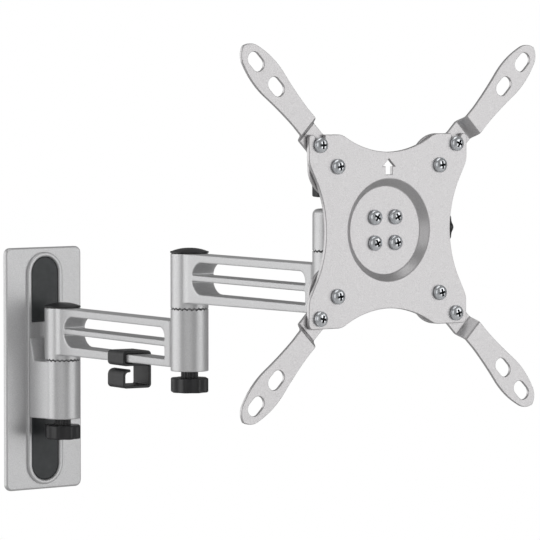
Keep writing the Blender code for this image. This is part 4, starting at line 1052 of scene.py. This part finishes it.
def extension_mesh():
    """An extension arm lying along +X: a tongue, a joggle and a paddle with two slots."""
    slots = []
    for place_along in SLOT_PLACES:
        slot = stadium(SLOT_WIDTH / 2, SLOT_LENGTH / 2, 20)
        slots.append([(place_along + y, x) for x, y in slot])
    for spot in (VESA_75, VESA_100):
        slots.append(circle(SCREW_HOLE, (spot * math.sqrt(2), 0), 24))
    high = FACE_FRONT - FACE_THICKNESS - GAP
    outline = mirrored(paddle_edge(), across_x=False)
    mesh = pressed("extension", outline, high - TONGUE_THICKNESS, high, slots, None, 0.4 * MM)
    shape = bmesh.new()
    shape.from_mesh(mesh)
    easing = 0.9 * MM
    first = JOGGLE_START - easing
    length = JOGGLE_END + easing - first
    lines = 14
    for step in range(lines + 1):
        line = first + length * step / lines
        everything = shape.verts[:] + shape.edges[:] + shape.faces[:]
        bmesh.ops.bisect_plane(shape, geom=everything, plane_co=(line, 0, 0), plane_no=(1, 0, 0))
    for vertex in shape.verts:
        share = min(max((vertex.co.x - first) / length, 0), 1)
        vertex.co.z += JOGGLE_STEP * share * share * (3 - 2 * share)
    return mesh_of(shape, "extension")


def make_extension_arms():
    arm = extension_mesh()
    for corner, side, level in CORNERS:
        turn = Matrix.Rotation(-math.atan2(level, side), 4, "Y") @ UPRIGHT
        node = "extension_arm_" + corner
        piece(node + "_finish", arm.copy(), TILT_FRAME @ turn, "tilt", FACE_SILVER, [node])


make_wall_plate()
make_covers()
make_bracket()
BRACKET_TEETH = Matrix.Translation(WALL_SPOT)
tooth_ring("bracket_teeth", -1, SPRING_BORE, BRACKET_TEETH, "base", ARM_YAW)
make_arm("arm_1", ARM_1_FRAME, "arm_1", nut_below=False)
make_arm("arm_2", ARM_2_FRAME, "arm_2", nut_below=True)
make_clip()
make_head()
TO_FOOT = Matrix.Translation((0, 0, -LOWER_HALF))
make_knob("wall_knob_finish", "wall_knob", ARM_1_FRAME @ TO_FOOT, KNOB_NECK, "wall_lock")
make_knob("elbow_knob_finish", "elbow_knob", ARM_2_FRAME @ TO_FOOT, KNOB_NECK, "elbow_lock")
HEAD_TOP = HEAD_FRAME @ Matrix.Translation((0, 0, HEAD_HEIGHT)) @ FLIP
make_knob("head_knob_finish", "head_knob", HEAD_TOP, HEAD_NECK_GAP, "head_lock")
TO_TOP = Matrix.Translation((0, 0, UPPER_HALF))
make_cap("wall_cap_finish", "wall_cap", ARM_1_FRAME @ TO_TOP, "arm_1")
make_cap("elbow_cap_finish", "elbow_cap", ARM_2_FRAME @ TO_TOP, "arm_2")
make_cap("head_cap_finish", "head_cap", HEAD_FRAME @ TO_FOOT @ FLIP, "arm_2")
make_tilt_bracket()
make_tilt_hardware()
make_face()
make_screws()
make_extension_arms()


# Stage, light and camera -------------------------------------------------------------------------

CAMERA_AZIMUTH = math.radians(-39.15)
CAMERA_PITCH = math.radians(2.88)
CAMERA_DISTANCE = 2.5
CAMERA_TARGET = Vector((36.6 * MM, -199.8 * MM, 72.6 * MM))
CAMERA_LENS = 260.7
FLOOR_LEVEL = -0.55
FLOOR_RADIUS = 3.2
FLOOR_GLOW = 0.62
SKY_STRENGTH = 0.24


def make_stage():
    """A plain pale floor, well below the object. A glow that only the camera sees keeps it pale."""
    shape = bmesh.new()
    bmesh.ops.create_circle(shape, cap_ends=True, segments=128, radius=FLOOR_RADIUS)
    floor = object_of(mesh_of(shape, "floor"))
    floor.location = (CAMERA_TARGET.x, CAMERA_TARGET.y, FLOOR_LEVEL)
    look, tree, shader, place = material("floor_white")
    tone = noise(tree, place, 0.4, 2.0, 0.5)
    colour = ramp(tree, tone, 0.3, 0.7, (0.72, 0.72, 0.72), (0.76, 0.76, 0.76))
    tree.links.new(colour, shader.inputs["Base Color"])
    shader.inputs["Roughness"].default_value = 0.9
    shader.inputs["Emission Color"].default_value = (1, 1, 1, 1)
    path = tree.nodes.new("ShaderNodeLightPath")
    glow = span(tree, path.outputs["Is Camera Ray"], 0.0, FLOOR_GLOW)
    tree.links.new(glow, shader.inputs["Emission Strength"])
    floor.data.materials.append(look)


def softbox(name, azimuth, elevation, distance, width, height, power):
    """A rectangular soft light that faces the target. Azimuth 0 is in front of the wall."""
    lamp = bpy.data.lights.new(name, "AREA")
    lamp.shape = "RECTANGLE"
    lamp.size = width
    lamp.size_y = height
    lamp.energy = power
    item = bpy.data.objects.new(name, lamp)
    bpy.context.scene.collection.objects.link(item)
    a, e = math.radians(azimuth), math.radians(elevation)
    away = Vector((math.sin(a) * math.cos(e), -math.cos(a) * math.cos(e), math.sin(e)))
    item.location = CAMERA_TARGET + away * distance
    item.rotation_euler = away.to_track_quat("Z", "Y").to_euler()


def make_light():
    """Softboxes around the object, under a dim sky that the camera sees as white."""
    world = bpy.data.worlds.new("studio")
    bpy.context.scene.world = world
    world.use_nodes = True
    tree = world.node_tree
    sky = tree.nodes["Background"]
    sky.inputs["Color"].default_value = (1, 1, 1, 1)
    path = tree.nodes.new("ShaderNodeLightPath")
    strength = span(tree, path.outputs["Is Camera Ray"], SKY_STRENGTH, 1.0)
    tree.links.new(strength, sky.inputs["Strength"])
    softbox("left", -129, 8, 1.7, 2.1, 1.8, 13.5)
    softbox("front_right", 29, 2, 1.8, 1.4, 1.8, 9.3)
    softbox("fill", -46, 6, 3.2, 3.0, 2.4, 12.5)
    softbox("top", -30, 72, 1.5, 1.2, 1.2, 4)


def make_camera():
    lens = bpy.data.cameras.new("camera")
    lens.lens = CAMERA_LENS
    lens.sensor_width = 36
    camera = bpy.data.objects.new("camera", lens)
    bpy.context.scene.collection.objects.link(camera)
    away = Vector((-math.sin(CAMERA_AZIMUTH), math.cos(CAMERA_AZIMUTH), -math.tan(CAMERA_PITCH)))
    look = away.normalized()
    camera.location = CAMERA_TARGET - look * CAMERA_DISTANCE
    camera.rotation_euler = look.to_track_quat("-Z", "Y").to_euler()
    bpy.context.scene.camera = camera


make_stage()
make_light()
make_camera()
bpy.context.scene.view_settings.view_transform = "Standard"
